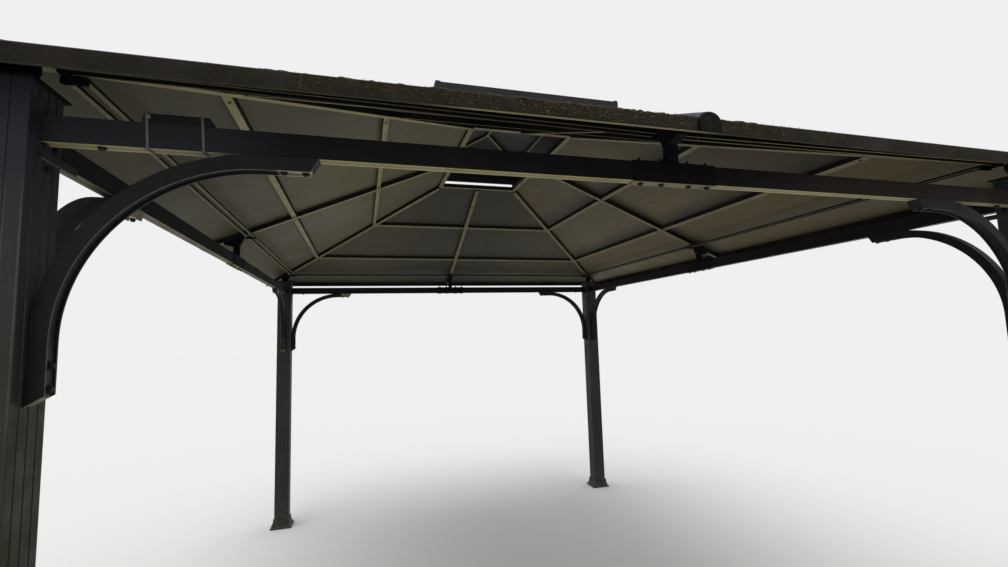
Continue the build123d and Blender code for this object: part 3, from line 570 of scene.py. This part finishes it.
def brace_coat(name, axis, line, run, clear):
    """Frame coat whose painted light lies on the outer lip, on the low end and on all of the foot's face.

    The line is the brace's middle plane on the axis, on both sides of the origin. The brace runs
    along the other axis from the post's face, which is at the clear distance. Past the upper bolts
    the painted light is palest, and on the right side there is none: painted shade.
    """
    finish = Finish(name, specular=0.12)
    clouds = finish.noise(7.0, 4.0).between(0.35, 0.70)
    scuffs = finish.noise(40.0, 5.0, roughness=0.65).between(0.54, 0.74)
    base = finish.blend(0.7 * clouds + 0.5 * scuffs, BRACE_COAT, BRACE_WORN)
    past = abs(finish.along(axis)) - line
    outer_lip = past.between(BRACE_CHANNEL + 0.0006, BRACE_CHANNEL + 0.0014)
    sideways = abs(finish.facing(axis)).between(0.3, 0.7)
    inner_face = (1.0 - sideways) * finish.facing("Z").between(0.25, -0.05)
    foot = finish.along("Z").between(BEAM_BOTTOM - 0.40, BEAM_BOTTOM - 0.46)
    low_end = foot * finish.facing("Z").between(-0.30, -0.60)
    head = finish.along("Z").between(BEAM_BOTTOM - 0.050, BEAM_BOTTOM - 0.036)
    out = clear - abs(finish.along(run))
    head = head * out.between(BRACE_BOLTS[0] - 0.020, BRACE_BOLTS[0] - 0.008)
    slanted = head * finish.facing("Z").between(-0.97, -0.88)
    straight = head * finish.facing("Z").between(-0.90, -0.98)
    # Painted light on the outer lip, the foot, the low end and the upper end; painted shade on the right
    # braces.
    painted_light = inner_face * (0.50 * outer_lip).at_least(0.22 * foot).at_least(0.95 * straight)
    painted_light = (painted_light * (1.0 - 0.10 * slanted)).at_least(0.9 * low_end)
    walls = head * past.between(BRACE_CHANNEL + 0.0010, BRACE_CHANNEL + 0.0002) * sideways
    painted_light = painted_light.at_least(0.6 * walls) * (1.0 - finish.along("X").between(0.7, 0.9))
    # This noise only makes the painted light patchy.
    grime = finish.noise(20.0, 5.0, shift=(2.0, 6.0, 1.0)).between(0.25, 0.70)
    lying = finish.facing("Z").between(0.45, 0.95) * (0.3 + 0.7 * finish.noise(90.0, 4.0))
    lit_coat = finish.blend(painted_light * (0.65 + 0.35 * grime), base, finish.blend(head, UNDERSIDE_LIGHT, BRACE_END_LIGHT))
    finish.colour(finish.blend(0.7 * lying, lit_coat, COAT_DUST))
    finish.roughness(0.48 + 0.14 * clouds + 0.20 * lying)
    finish.orange_peel(0.0010)
    return finish.material


short_coat = brace_coat("brace_coat_short_side", "Y", POST_Y, "X", CLEAR_X)
long_coat = brace_coat("brace_coat_long_side", "X", POST_X, "Y", CLEAR_Y)
finish_nodes(short_coat, "brace_near_", "brace_far_")
finish_nodes(long_coat, "brace_left_", "brace_right_")
brace_places, brace_axes = [], []
for x_sign, y_sign in post_signs:
    for reach in BRACE_BOLTS:
        low, high = BEAM_BOTTOM - reach, BEAM_BOTTOM - BRACE_FLOOR
        brace_places += [
            (x_sign * (CLEAR_X - reach), y_sign * POST_Y, high),
            (x_sign * (CLEAR_X - BRACE_FLOOR), y_sign * POST_Y, low),
            (x_sign * POST_X, y_sign * (CLEAR_Y - reach), high),
            (x_sign * POST_X, y_sign * (CLEAR_Y - BRACE_FLOOR), low),
        ]
        brace_axes += [(0, 0, -1), (-x_sign, 0, 0), (0, 0, -1), (0, -y_sign, 0)]
bolts("brace_bolts", brace_places, brace_axes, swell=(1.0, 1.0, 1.5))


# King and corner brackets. Folded steel stems in the dark coat that carry the middle rafters on
# the beams and the hip rafters on the posts. They carry hardly any of the painted underside light.
finish_nodes(powder_coat("bracket_coat", 0.04, specular=0.01), "king_brackets", "corner_brackets")


# Strapped case. A slim moulded box in black plastic on the near beam, held by two pale cable ties
# that go round box and beam. The left one's head is in front, and both have a short end below.
CASE_TOP = 2.214
CASE_PLASTIC = (0.0068, 0.0063, 0.0075)
CASE_BLOOM = (0.0125, 0.0115, 0.0130)
TIE_PLASTIC = (0.1000, 0.0980, 0.0880)
TIE_SOIL = (0.0700, 0.0660, 0.0540)
TIES = (-1.352, -1.243)
TIE_WIDTH, TIE_THICK = 0.0052, 0.0013
TIE_GAP = 0.0010
TIE_CORNER = 0.0060
TIE_LEAN = 0.0040  # how far the lower half of a tie stands to the right
TIE_RIDGES = 320.0  # ridges across the ties, in repeats a metre
TIE_HEAD = (0.0050, 0.0045)  # half the width and half the height
TIE_HEAD_PLACE = (0.0035, -0.0085)  # from the tie and from the case's top
TIE_HEAD_STEPS = ((0.0, 1.0), (0.0045, 1.0), (0.0055, 0.8))  # way out from the beam, and size
TAIL = ((0.0, 0.020), (0.003, 0.004), (0.006, -0.010), (0.012, -0.024))  # along X and back along Y
TAIL_HALF = (0.0022, 0.0006)  # half the width and half the thickness
TAIL_ACROSS = (1.0, 0.15, 0.0)
TAIL_DROP = 0.0030


def case_plastic():
    """Matt black plastic with a faint bloom, and dust on what faces up."""
    finish = Finish("case_plastic", specular=0.14)
    bloom = finish.noise(30.0, 4.0).between(0.35, 0.70)
    dust = finish.facing("Z").between(0.3, 0.9) * (0.4 + 0.6 * finish.noise(120.0, 4.0))
    finish.colour(finish.blend(dust, finish.blend(bloom, CASE_PLASTIC, CASE_BLOOM), COAT_DUST))
    finish.roughness(0.55 + 0.15 * bloom)
    finish.relief(finish.noise(900.0, 2.0), 0.0001, 0.0010)
    return finish.material


def tie_plastic():
    """Soiled pale plastic with fine ridges."""
    finish = Finish("tie_plastic", specular=0.35)
    soil = finish.noise(90.0, 3.0).between(0.35, 0.70)
    finish.colour(finish.blend(soil, TIE_PLASTIC, TIE_SOIL))
    finish.roughness(0.42 + 0.2 * soil)
    values = {"Vector": finish.spot(), "Scale": TIE_RIDGES}
    finish.relief(finish.node("ShaderNodeTexWave", {"bands_direction": "Z"}, values), 0.0002)
    return finish.material


def loop(half_wide, bottom, top, corner, steps=6):
    """Path round a rectangle with round corners, centre + corner (cos a, sin a), and its directions out."""
    turn = np.linspace(0.0, np.pi / 2, steps)
    centres = [(half_wide - corner, top - corner), (corner - half_wide, top - corner),
               (corner - half_wide, bottom + corner), (half_wide - corner, bottom + corner)]
    angles = np.concatenate([turn + k * np.pi / 2 for k in range(4)])
    outwards = np.stack((np.cos(angles), np.sin(angles)), 1)
    return np.repeat(centres, steps, 0) + corner * outwards, outwards


def ring(name, x, material):
    """Flat band of the tie's width carried round the case and the beam, leaning a little."""
    places, outwards = loop(BEAM_HALF + TIE_GAP, BEAM_BOTTOM - TIE_GAP, CASE_TOP + TIE_GAP, TIE_CORNER)
    lean = np.where(places[:, 1] < (BEAM_BOTTOM + CASE_TOP) / 2, TIE_LEAN, 0.0)
    path = np.column_stack((x + lean, places[:, 0] - POST_Y, places[:, 1]))
    rise = np.column_stack((np.zeros(len(places)), outwards))
    section = rectangle(-TIE_WIDTH / 2, 0.0, TIE_WIDTH / 2, TIE_THICK)
    skin(name, carried(path, ALONG_X, rise, section), material, ends=False)


finish_nodes(case_plastic(), "strapped_case")
tie_finish = tie_plastic()
for number, x in enumerate(TIES, 1):
    ring(f"cable_tie_{number}", x, tie_finish)

depth, size = np.array(TIE_HEAD_STEPS).T
head_x, head_z = TIES[0] + TIE_HEAD_PLACE[0], CASE_TOP + TIE_HEAD_PLACE[1]
head_path = np.column_stack((np.full(3, head_x), -POST_Y - BEAM_HALF - TIE_GAP - depth, np.full(3, head_z)))
head_section = softened(rectangle(-TIE_HEAD[0], -TIE_HEAD[1], *TIE_HEAD), 0.0012)
head = carried(head_path, size[:, None] * ALONG_X, size[:, None] * UPWARDS, head_section)
skin("cable_tie_head", head, tie_finish)

tail_section = softened(rectangle(-TAIL_HALF[0], -TAIL_HALF[1], *TAIL_HALF), 0.0003)
tail_level = BEAM_BOTTOM - TIE_GAP - TIE_THICK - 0.0012
for number, x in enumerate(TIES, 1):
    tail_path = np.array([(x + shift, -POST_Y - back, tail_level) for shift, back in TAIL])
    tail_path[-1, 2] -= TAIL_DROP
    tail = carried(tail_path, TAIL_ACROSS, UPWARDS, tail_section)
    skin(f"cable_tie_tail_{number}", tail, tie_finish)


# Rafters, purlins, vent ring and cap frame. Slim rolled bars in the dark coat. Their undersides
# carry the same painted light as the beams, and each joint has a screw.
BAR_SIDE = (0.0062, 0.0060, 0.0058)
BAR_WORN = (0.0120, 0.0112, 0.0095)
bar_coat = powder_coat("bar_coat", 1.0, coat=BAR_SIDE, worn=BAR_WORN, bright=True)
finish_nodes(bar_coat, "hip_rafters", "mid_rafters", "purlins_", "vent_ring", "cap_frame", "cap_posts")

RING_X, RING_Y, RING_BOTTOM = 0.284, 0.553, 2.854  # where the bars' undersides meet the vent ring
RUN_X, RUN_Y, DROP = POST_X - RING_X, POST_Y - RING_Y, 0.552  # of the bars, down to the beams
PURLINS = (0.386, 0.762)  # shares of the way down
PURLIN_LIFT = 0.004  # the purlins' undersides above the rafters'
FROM_MIDDLE, FROM_HIP = 0.045, 0.060  # from the rafters' lines to the screws
bar_screws, bar_axes = [], []
for share in PURLINS:
    x, y, z = RING_X + share * RUN_X, RING_Y + share * RUN_Y, RING_BOTTOM - share * DROP + PURLIN_LIFT
    for way in (-1, 1):
        for sign in (-1, 1):
            bar_screws += [(sign * x, way * FROM_MIDDLE, z), (way * FROM_MIDDLE, sign * y, z)]
            bar_screws += [(sign * x, way * (y - FROM_HIP), z), (way * (x - FROM_HIP), sign * y, z)]
            bar_axes += [(-sign * DROP / RUN_X, 0, -1), (0, -sign * DROP / RUN_Y, -1)] * 2
skin("bar_screws", set_at(screw_head, bar_screws, bar_axes), dark_zinc, smooth=True)


# Curtain track. Two slim bars on each side that lie on dark hangers at the middle rafter and at
# the hips. The bars have painted light underneath, more on the long sides than on the short ones.
HANGER_LEVEL = 2.306
MIDDLE_LINE, END_LINE = 1.860, 1.896  # half way between a short side's bars, at the middle and the ends
BAR_REACH = 1.534  # from the middle to the ends
LONG_LINE = 1.527  # half way between a long side's bars
LONG_HALF = 0.018  # from there to each bar's middle


def track_coat(name, short):
    """Frame coat with painted light under the bars and hardly any on the hangers.

    The painted light covers only the outermost edges of a short side's two bars, which run slightly
    inwards to the middle, and is palest on the right half of the near side. On the right side it
    covers only the middle of each bar.
    """
    finish = Finish(name, specular=0.0 if short else 0.05)
    base = finish.blend(finish.noise(9.0, 4.0).between(0.35, 0.70), COAT, BAR_SIDE)
    bar = finish.along("Z").between(HANGER_LEVEL - 0.001, HANGER_LEVEL + 0.001)
    x, y = abs(finish.along("X")), abs(finish.along("Y"))
    if short:
        sunny = finish.along("X").between(-0.15, 0.30) * finish.along("Y").between(0.0, -1.0)
        off = abs(y - (MIDDLE_LINE + (END_LINE - MIDDLE_LINE) / BAR_REACH * x))
        covered = (0.60 + 0.40 * sunny) * off.between(0.0106, 0.0118) + 0.01
    else:
        off = abs(abs(x - LONG_LINE) - LONG_HALF)
        covered = 1.0 - 0.9 * finish.along("X").between(0.0, 0.5) * off.between(0.0030, 0.0036)
    # Painted light under the bars.
    painted_light = finish.facing("Z").between(-0.35, -0.92) * bar * covered
    thin = finish.noise(22.0, 4.0).between(0.20, 0.75)
    pale = finish.blend(sunny, UNDERSIDE_LIGHT, UNDERSIDE_LIGHT_BRIGHT) if short else UNDERSIDE_LIGHT
    finish.colour(finish.blend(painted_light * (0.65 + 0.35 * thin), base, pale))
    finish.roughness(0.52 + 0.1 * thin)
    finish.orange_peel(0.0008)
    return finish.material


finish_nodes(track_coat("track_coat_short_side", True), "curtain_track_near", "curtain_track_far")
finish_nodes(track_coat("track_coat_long_side", False), "curtain_track_left", "curtain_track_right")


# Roof panels. Coated steel sheet, two to a slope, laid on the bars. Underneath it is olive grey
# with soft clouds, faint marks down the fall and small scratches; on top it is dark.
SHEET = (0.0460, 0.0415, 0.0275)
SHEET_PALE = (0.0820, 0.0730, 0.0430)
SHEET_SHADE = (0.0330, 0.0300, 0.0215)
SHEET_SHADOW = (0.0120, 0.0115, 0.0090)
SHEET_SCRATCH = (0.1500, 0.1400, 0.1100)
SHEET_TOP = (0.0290, 0.0280, 0.0290)
SHEET_TOP_DUST = (0.0750, 0.0650, 0.0480)
# Painted light and shade: each slope's underside is made lighter or darker, warmer or cooler, by how the
# light falls on it.
SHEET_LIGHT_TONES = {"near": (0.82, 0.82, 0.86), "far": (0.86, 0.85, 0.88),
               "left": (1.05, 1.06, 0.86), "right": (1.12, 0.98, 0.80)}
SHADOWED_BY = (0.792, 1.287)  # the right slope's purlins, along X
SCRATCHES = 5.0  # a metre


def slope_light(side, x):
    """Share of painted light on the sheet: more towards the right eave and half way down the left slope, with
    painted shade nearer the left eave.
    """
    if side == "right":
        return 0.8 * x.between(0.7, 1.5)
    if side == "left":
        return 0.5 * x.between(-0.5, -0.9) - 0.6 * x.between(-1.05, -1.4)
    return 0.0


def slope_shade(side, x, y):
    """Share of painted shade: on the long slopes' near ends, right on the near one, mid on the far one."""
    if side == "near":
        return 0.25 * x.between(-1.2, -0.7) + 0.40 * x.between(-0.4, 0.5)
    if side == "far":
        return 0.7 * abs(x).between(1.0, 0.2)
    if side == "left":
        return 0.6 * y.between(-0.6, -1.2)
    return 0.95 * y.between(-0.4, -1.2) * (1.0 - 0.8 * x.between(1.15, 1.40))


def roof_sheet(side, fall, light_tone):
    """Coated sheet with marks along its fall, the X or the Y axis, and its colour underneath times the
    slope's painted light tone.

    On the right slope the sheet has painted shadow beside the purlins and the middle rafter.
    """
    finish = Finish(f"roof_sheet_{side}", specular=0.16)
    stretch = (0.05, 1.0, 0.5) if fall == "X" else (1.0, 0.05, 0.5)
    marks = finish.noise(22.0, 4.0, stretch=stretch).between(0.25, 0.75)
    clouds = finish.noise(1.6, 3.0).between(0.28, 0.72)
    mottle = finish.noise(9.0, 4.0, roughness=0.6, shift=(2.0, 8.0, 3.0)).between(0.30, 0.70)
    dull, pale, shade = (tuple(np.array(light_tone) * colour) for colour in (SHEET, SHEET_PALE, SHEET_SHADE))
    x, y = finish.along("X"), finish.along("Y")
    # Real mottling of the sheet plus the slope's painted light.
    mottle_and_light = 0.25 * marks + 0.45 * clouds + 0.30 * mottle + slope_light(side, x)
    under = finish.blend(slope_shade(side, x, y), finish.blend(mottle_and_light, dull, pale), shade)
    # Painted shadow on the uphill side of the purlins and the near side of the middle rafter.
    if side == "right":
        shadowed = y.between(-0.20, -0.02) * y.between(0.010, 0.0)
        for bar in SHADOWED_BY:
            shadowed = shadowed.at_least(x.between(bar - 0.18, bar - 0.015) * x.between(bar + 0.008, bar))
        under = finish.blend(0.75 * shadowed, under, SHEET_SHADOW)
    scratch_spot = {"Vector": finish.spot(stretch=(1.0, 0.22, 1.0), turn=(0.0, 0.0, 0.7)), "Scale": SCRATCHES}
    scratch = finish.node("ShaderNodeTexVoronoi", None, scratch_spot, output="Distance").between(0.035, 0.010)
    under = finish.blend(0.45 * scratch, under, SHEET_SCRATCH)
    litter = finish.noise(42.0, 8.0, roughness=0.75, shift=(6.0, 1.0, 4.0)).between(0.42, 0.72)
    runs = finish.noise(15.0, 5.0, stretch=stretch, shift=(1.0, 7.0, 2.0)).between(0.35, 0.75)
    top = finish.blend(0.35 * litter + 0.30 * runs + 0.10 * clouds, SHEET_TOP, SHEET_TOP_DUST)
    finish.colour(finish.blend(finish.facing("Z").between(-0.2, 0.2), under, top))
    finish.roughness(0.50 + 0.16 * clouds)
    finish.relief(0.8 * finish.noise(3.5, 2.0, stretch=stretch) + 0.01 * mottle, 0.004)
    return finish.material


for side, light_tone in SHEET_LIGHT_TONES.items():
    finish_nodes(roof_sheet(side, "Y" if side in ("near", "far") else "X", light_tone), f"panels_{side}")


# Eave rails. Channels round the roof's edge in the dark coat. Leaf soil, moss and conifer needles
# have settled on the outer face, most of all along the near side.
EAVE_X, EAVE_Y = 1.765, 2.0948  # the rails' outer faces
EAVE_BOTTOM, EAVE_TOP = 2.2258, 2.2648
EAVE_COAT = (0.0135, 0.0120, 0.0100)
EAVE_WORN = (0.0205, 0.0178, 0.0135)
EAVE_SOIL = (0.0210, 0.0155, 0.0075)
EAVE_SOIL_PALE = (0.1700, 0.1300, 0.0650)
EAVE_MOSS = (0.0280, 0.0300, 0.0130)


def soiled(finish, base, amount):
    """Leaf soil with moss and pale fibres over a base colour, where amount is above 0."""
    fibres = finish.noise(170.0, 6.0, roughness=0.80, stretch=(0.7, 0.7, 1.3)).between(0.555, 0.655)
    moss = finish.noise(32.0, 4.0, shift=(7.0, 2.0, 1.0)).between(0.50, 0.64)
    soil = finish.blend(0.85 * fibres, finish.blend(0.8 * moss, EAVE_SOIL, EAVE_MOSS), EAVE_SOIL_PALE)
    return finish.blend(amount, base, soil), fibres


def eave_coat():
    """Brownish coat with soil on the outer face and painted light below."""
    finish = Finish("eave_coat", specular=0.12)
    coat = finish.blend(finish.noise(9.0, 4.0).between(0.35, 0.7), EAVE_COAT, EAVE_WORN)
    outer_x = abs(finish.along("X")).between(EAVE_X - 0.0012, EAVE_X - 0.0004)
    outer_y = abs(finish.along("Y")).between(EAVE_Y - 0.0012, EAVE_Y - 0.0004)
    outer = outer_x.at_least(outer_y)
    broad = finish.noise(7.0, 4.0, shift=(3.0, 1.0, 0.0)).between(0.22, 0.55)
    high = finish.along("Z").between(EAVE_BOTTOM + 0.004, EAVE_TOP - 0.004)
    littered = finish.along("X").between(-1.25, -0.75) * (1.0 - 0.45 * finish.along("X").between(0.10, 0.35))
    grains = finish.noise(160.0, 6.0, roughness=0.7).between(0.32, 0.62)
    amount = outer * (0.35 + 0.65 * high) * (0.50 + 0.50 * broad) * (0.60 + 0.40 * grains)
    amount = amount * (0.30 + 0.70 * littered)
    colour, fibres = soiled(finish, coat, amount)
    # Painted light on what faces down, left off most of the near rail.
    under = finish.facing("Z").between(-0.5, -0.9)
    middle = finish.along("X").between(-0.80, -0.60) * finish.along("X").between(0.08, -0.08)
    under = under * (1.0 - 0.9 * finish.along("Y").between(-2.00, -2.05) * (1.0 - middle))
    finish.colour(finish.blend(0.95 * under, colour, UNDERSIDE_LIGHT_BRIGHT))
    finish.roughness(0.60 + 0.35 * broad)
    finish.relief(0.6 * grains + 0.4 * fibres, 0.0012)
    return finish.material


finish_nodes(eave_coat(), "eave_rail_")


# Conifer needles. Dry brown slivers caught on the near eave, on the rail's face and on the edge
# of the sheet above it.
rng = np.random.default_rng(7)
NEEDLES = 420
NEEDLE_LENGTH = (0.003, 0.011)
NEEDLE_RADIUS = 0.00040
NEEDLE_BROWN = (0.1800, 0.1320, 0.0680)
NEEDLE_DARK = (0.0600, 0.0430, 0.0240)
FACE_SPREAD, SHEET_SPREAD = (-0.30, 0.36), (-0.30, 0.40)  # middle and spread along X
FALL_Y = DROP / RUN_Y  # slope of the near roof panels


def litter_finish(name, first, second, scale):
    """Dry plant matter, mottled between two colours."""
    finish = Finish(name, specular=0.12)
    change = finish.noise(scale, 4.0).between(0.35, 0.65)
    finish.colour(finish.blend(change, first, second))
    finish.roughness(0.75 + 0.15 * change)
    finish.relief(finish.noise(scale * 5.0, 3.0), 0.0004)
    return finish.material


def slivers(starts, ends, radius):
    """Three-sided rods between pairs of points, thin at both ends: start + radius (x, y) + length z."""
    run = ends - starts
    length = np.linalg.norm(run, axis=1)
    shape = turned([(0.45, 0.0), (1.0, 0.3), (0.9, 0.7), (0.3, 1.0)], 3)
    radii = np.full(length.shape, radius)
    return set_at(shape, starts, run, np.column_stack((radii, radii, length)))


needle_finish = litter_finish("needle_brown", NEEDLE_BROWN, NEEDLE_DARK, 40.0)
middle = np.clip(rng.normal(*FACE_SPREAD, NEEDLES), -1.02, 0.70)
level = rng.uniform(EAVE_BOTTOM + 0.004, EAVE_TOP + 0.003, NEEDLES)
tilt = rng.normal(0.0, 0.55, NEEDLES)
length = rng.uniform(*NEEDLE_LENGTH, NEEDLES)
reach_x = np.cos(tilt) * length / 2
reach_z = np.clip(np.sin(tilt) * length / 2, EAVE_BOTTOM - level, EAVE_TOP + 0.004 - level)
face = EAVE_Y + rng.uniform(0.0004, 0.0040, (2, NEEDLES))
starts = np.column_stack((middle - reach_x, -face[0], level - reach_z))
ends = np.column_stack((middle + reach_x, -face[1], level + reach_z))
skin("eave_needles", slivers(starts, ends, NEEDLE_RADIUS), needle_finish)

lying = rng.uniform(0.0, 0.10, (2, NEEDLES))  # the second row is drawn but not used
middle = np.clip(rng.normal(*SHEET_SPREAD, NEEDLES), -1.10, 0.90)
turn = rng.uniform(0.0, np.pi, NEEDLES)
reach = rng.uniform(*NEEDLE_LENGTH, NEEDLES)[:, None] / 2 * np.stack((np.cos(turn), np.sin(turn)), 1)
place = np.column_stack((middle, lying[0]))
along, back = np.moveaxis(np.stack((place - reach, place + reach)), -1, 0)
back = np.clip(back, -0.004, 0.2)
tops = np.stack((along, back - EAVE_Y, EAVE_TOP + 0.0012 + FALL_Y * np.maximum(back, 0.0)), -1)
tops[..., 2] += rng.uniform(0.0, 0.003, (2, NEEDLES))
skin("sheet_needles", slivers(tops[0], tops[1], NEEDLE_RADIUS), needle_finish)


# Moss tufts. Low cushions of moss and soil that have grown along the top edge of the near eave,
# thickest to the left of the middle.
TUFTS = 110
TUFT_PROFILE = ((1.0, 0.0), (0.92, 0.35), (0.70, 0.72), (0.38, 0.95), (0.10, 1.0))
TUFT_SPREAD = (-0.35, 0.38)
MOSS = (0.0460, 0.0400, 0.0220)
MOSS_DARK = (0.0260, 0.0210, 0.0140)
moss_finish = litter_finish("moss", MOSS, MOSS_DARK, 160.0)
middle = np.clip(rng.normal(*TUFT_SPREAD, TUFTS), -1.20, 0.16)
width, rise = rng.uniform(0.005, 0.017, TUFTS), rng.uniform(0.0015, 0.0048, TUFTS)
back = rng.uniform(0.006, 0.030, TUFTS)
places = np.column_stack((middle, back - EAVE_Y, EAVE_TOP - 0.0006 + FALL_Y * back))
sizes = np.column_stack((width, width * rng.uniform(0.5, 1.0, TUFTS), rise))
tufts = set_at(turned(TUFT_PROFILE, 10, 0.16), places, (0.0, -FALL_Y, 1.0), sizes)
skin("eave_moss", tufts, moss_finish, smooth=True)


# Hanging needles. A few long dry needles that have fallen on the bars of the near curtain track
# and hang down from them.
HANGING = np.array([(0.119, -1.900, 2.311, 0.034), (0.155, -1.898, 2.311, 0.013),
                    (0.307, -1.902, 2.311, 0.018), (-0.727, -1.885, 2.311, 0.022)])  # upper end and drop
HANGING_RADIUS = 0.0008
HANGING_LEAN = (0.004, -0.002, 0.0)
upper_ends, drops = HANGING[:, :3], HANGING[:, 3:]
hanging = slivers(upper_ends, upper_ends + HANGING_LEAN - drops * UPWARDS, HANGING_RADIUS)
skin("hanging_needles", hanging, needle_finish)


# Joint covers. Rounded caps of weathered blue-grey sheet over the panel joints, each closed at
# the eave by a moulded dark end with soil on its shoulder.
COVER_SHEET = (0.0520, 0.0560, 0.0640)
COVER_SHEET_WORN = (0.0850, 0.0900, 0.0980)
COVER_END = (0.0040, 0.0039, 0.0034)


def cover_coat():
    """Weathered blue-grey sheet with blots of moss and soil, and nearly black past the eave."""
    finish = Finish("cover_coat", specular=0.08)
    clouds = finish.noise(6.0, 4.0).between(0.32, 0.70)
    sheet = finish.blend(clouds, COVER_SHEET, COVER_SHEET_WORN)
    past_x = abs(finish.along("X")).between(EAVE_X - 0.002, EAVE_X)
    past_y = abs(finish.along("Y")).between(EAVE_Y - 0.002, EAVE_Y)
    end = past_x.at_least(past_y)
    body = finish.blend(end, sheet, COVER_END)
    blots = finish.noise(24.0, 5.0, roughness=0.65, shift=(4.0, 4.0, 1.0)).between(0.52, 0.68)
    colour, fibres = soiled(finish, body, blots * (0.30 + 0.30 * end))
    finish.colour(colour)
    finish.roughness(0.48 + 0.12 * clouds + 0.3 * blots)
    finish.relief(0.7 * blots + 0.1 * fibres, 0.0008, 0.0010)
    return finish.material


finish_nodes(cover_coat(), "joint_covers")


# Raised vent cap. A fascia band of bluish charcoal sheet with four low-pitched sheets on it. The
# band's ends are folded up in small flaps, and rain has left soil on its top edge.
CAP_X, CAP_Y, CAP_EDGE = 0.530, 0.742, 3.014  # the band's outer faces and its top edge
CAP_COAT = (0.0125, 0.0133, 0.0160)
CAP_WORN = (0.0250, 0.0265, 0.0310)
FLAP_LENGTH, FLAP_RISE, FLAP_THICK = 0.034, 0.0085, 0.0016
FLAP = ((0.0, -0.003), (FLAP_LENGTH, -0.003), (FLAP_LENGTH * 0.8, FLAP_RISE * 0.75), (0.004, FLAP_RISE))


def cap_coat():
    """Bluish charcoal sheet with runs of rain and soil on what faces up and on the band's top edge."""
    finish = Finish("cap_coat", specular=0.22)
    clouds = finish.noise(8.0, 4.0).between(0.30, 0.70)
    runs = finish.noise(60.0, 3.0, stretch=(1.0, 1.0, 0.06)).between(0.45, 0.70)
    base = finish.blend(0.6 * clouds + 0.4 * runs, CAP_COAT, CAP_WORN)
    lying = finish.facing("Z").between(0.3, 0.9) * finish.noise(40.0, 5.0, roughness=0.65).between(0.40, 0.62)
    edge = finish.along("Z").between(CAP_EDGE - 0.008, CAP_EDGE) * finish.noise(70.0, 4.0).between(0.45, 0.62)
    colour, fibres = soiled(finish, base, 0.7 * lying.at_least(0.7 * edge))
    finish.colour(colour)
    finish.roughness(0.46 + 0.14 * clouds + 0.2 * lying)
    finish.relief(0.5 * fibres * lying + 0.2 * clouds, 0.0008, 0.0010)
    return finish.material


cap_finish = cap_coat()
finish_nodes(cap_finish, "cap_fascia", "cap_panels")
flaps = []
for x_sign, y_sign in post_signs:
    path = np.array([(x_sign * CAP_X, y_sign * (CAP_Y - depth), CAP_EDGE) for depth in (0.0002, FLAP_THICK)])
    flaps.append(carried(path, -x_sign * ALONG_X, UPWARDS, FLAP))
skin("cap_flaps", flaps, cap_finish)


# Dry twig. A thin grey twig that the wind has left on the near face of the cap's band, lying
# against the sheet and tapering to its lower end.
TWIG_GREY = (0.1200, 0.1000, 0.0800)
TWIG_DARK = (0.0600, 0.0480, 0.0380)
TWIG_RADIUS, TWIG_TAPER = 0.0014, 0.45
TWIG_FRONT = -CAP_Y - 0.0016
TWIG = np.array([(-0.086, 0.0, 3.008), (-0.074, -0.0008, 2.998), (-0.060, -0.0006, 2.984),
                 (-0.050, 0.0, 2.975), (-0.040, -0.0004, 2.964)])  # Y is from the front


def tapered(points, radius, taper):
    """Grid of a six-sided rod along points: point + r cos a side - r sin a third, r falling to r * taper."""
    way = unit(np.gradient(points, axis=0))
    side = unit(np.cross(way, (0.0, 0.3, 1.0)))
    third = np.cross(side, way)
    radii = np.linspace(1.0, taper, len(points))[:, None] * radius
    angle = np.arange(6) * np.pi / 3
    return carried(points, side * radii, -third * radii, np.stack((np.cos(angle), np.sin(angle)), 1))


twig_finish = litter_finish("twig_grey", TWIG_GREY, TWIG_DARK, 90.0)
twig = tapered(TWIG + (0.0, TWIG_FRONT, 0.0), TWIG_RADIUS, TWIG_TAPER)
skin("cap_twig", twig, twig_finish, smooth=True)
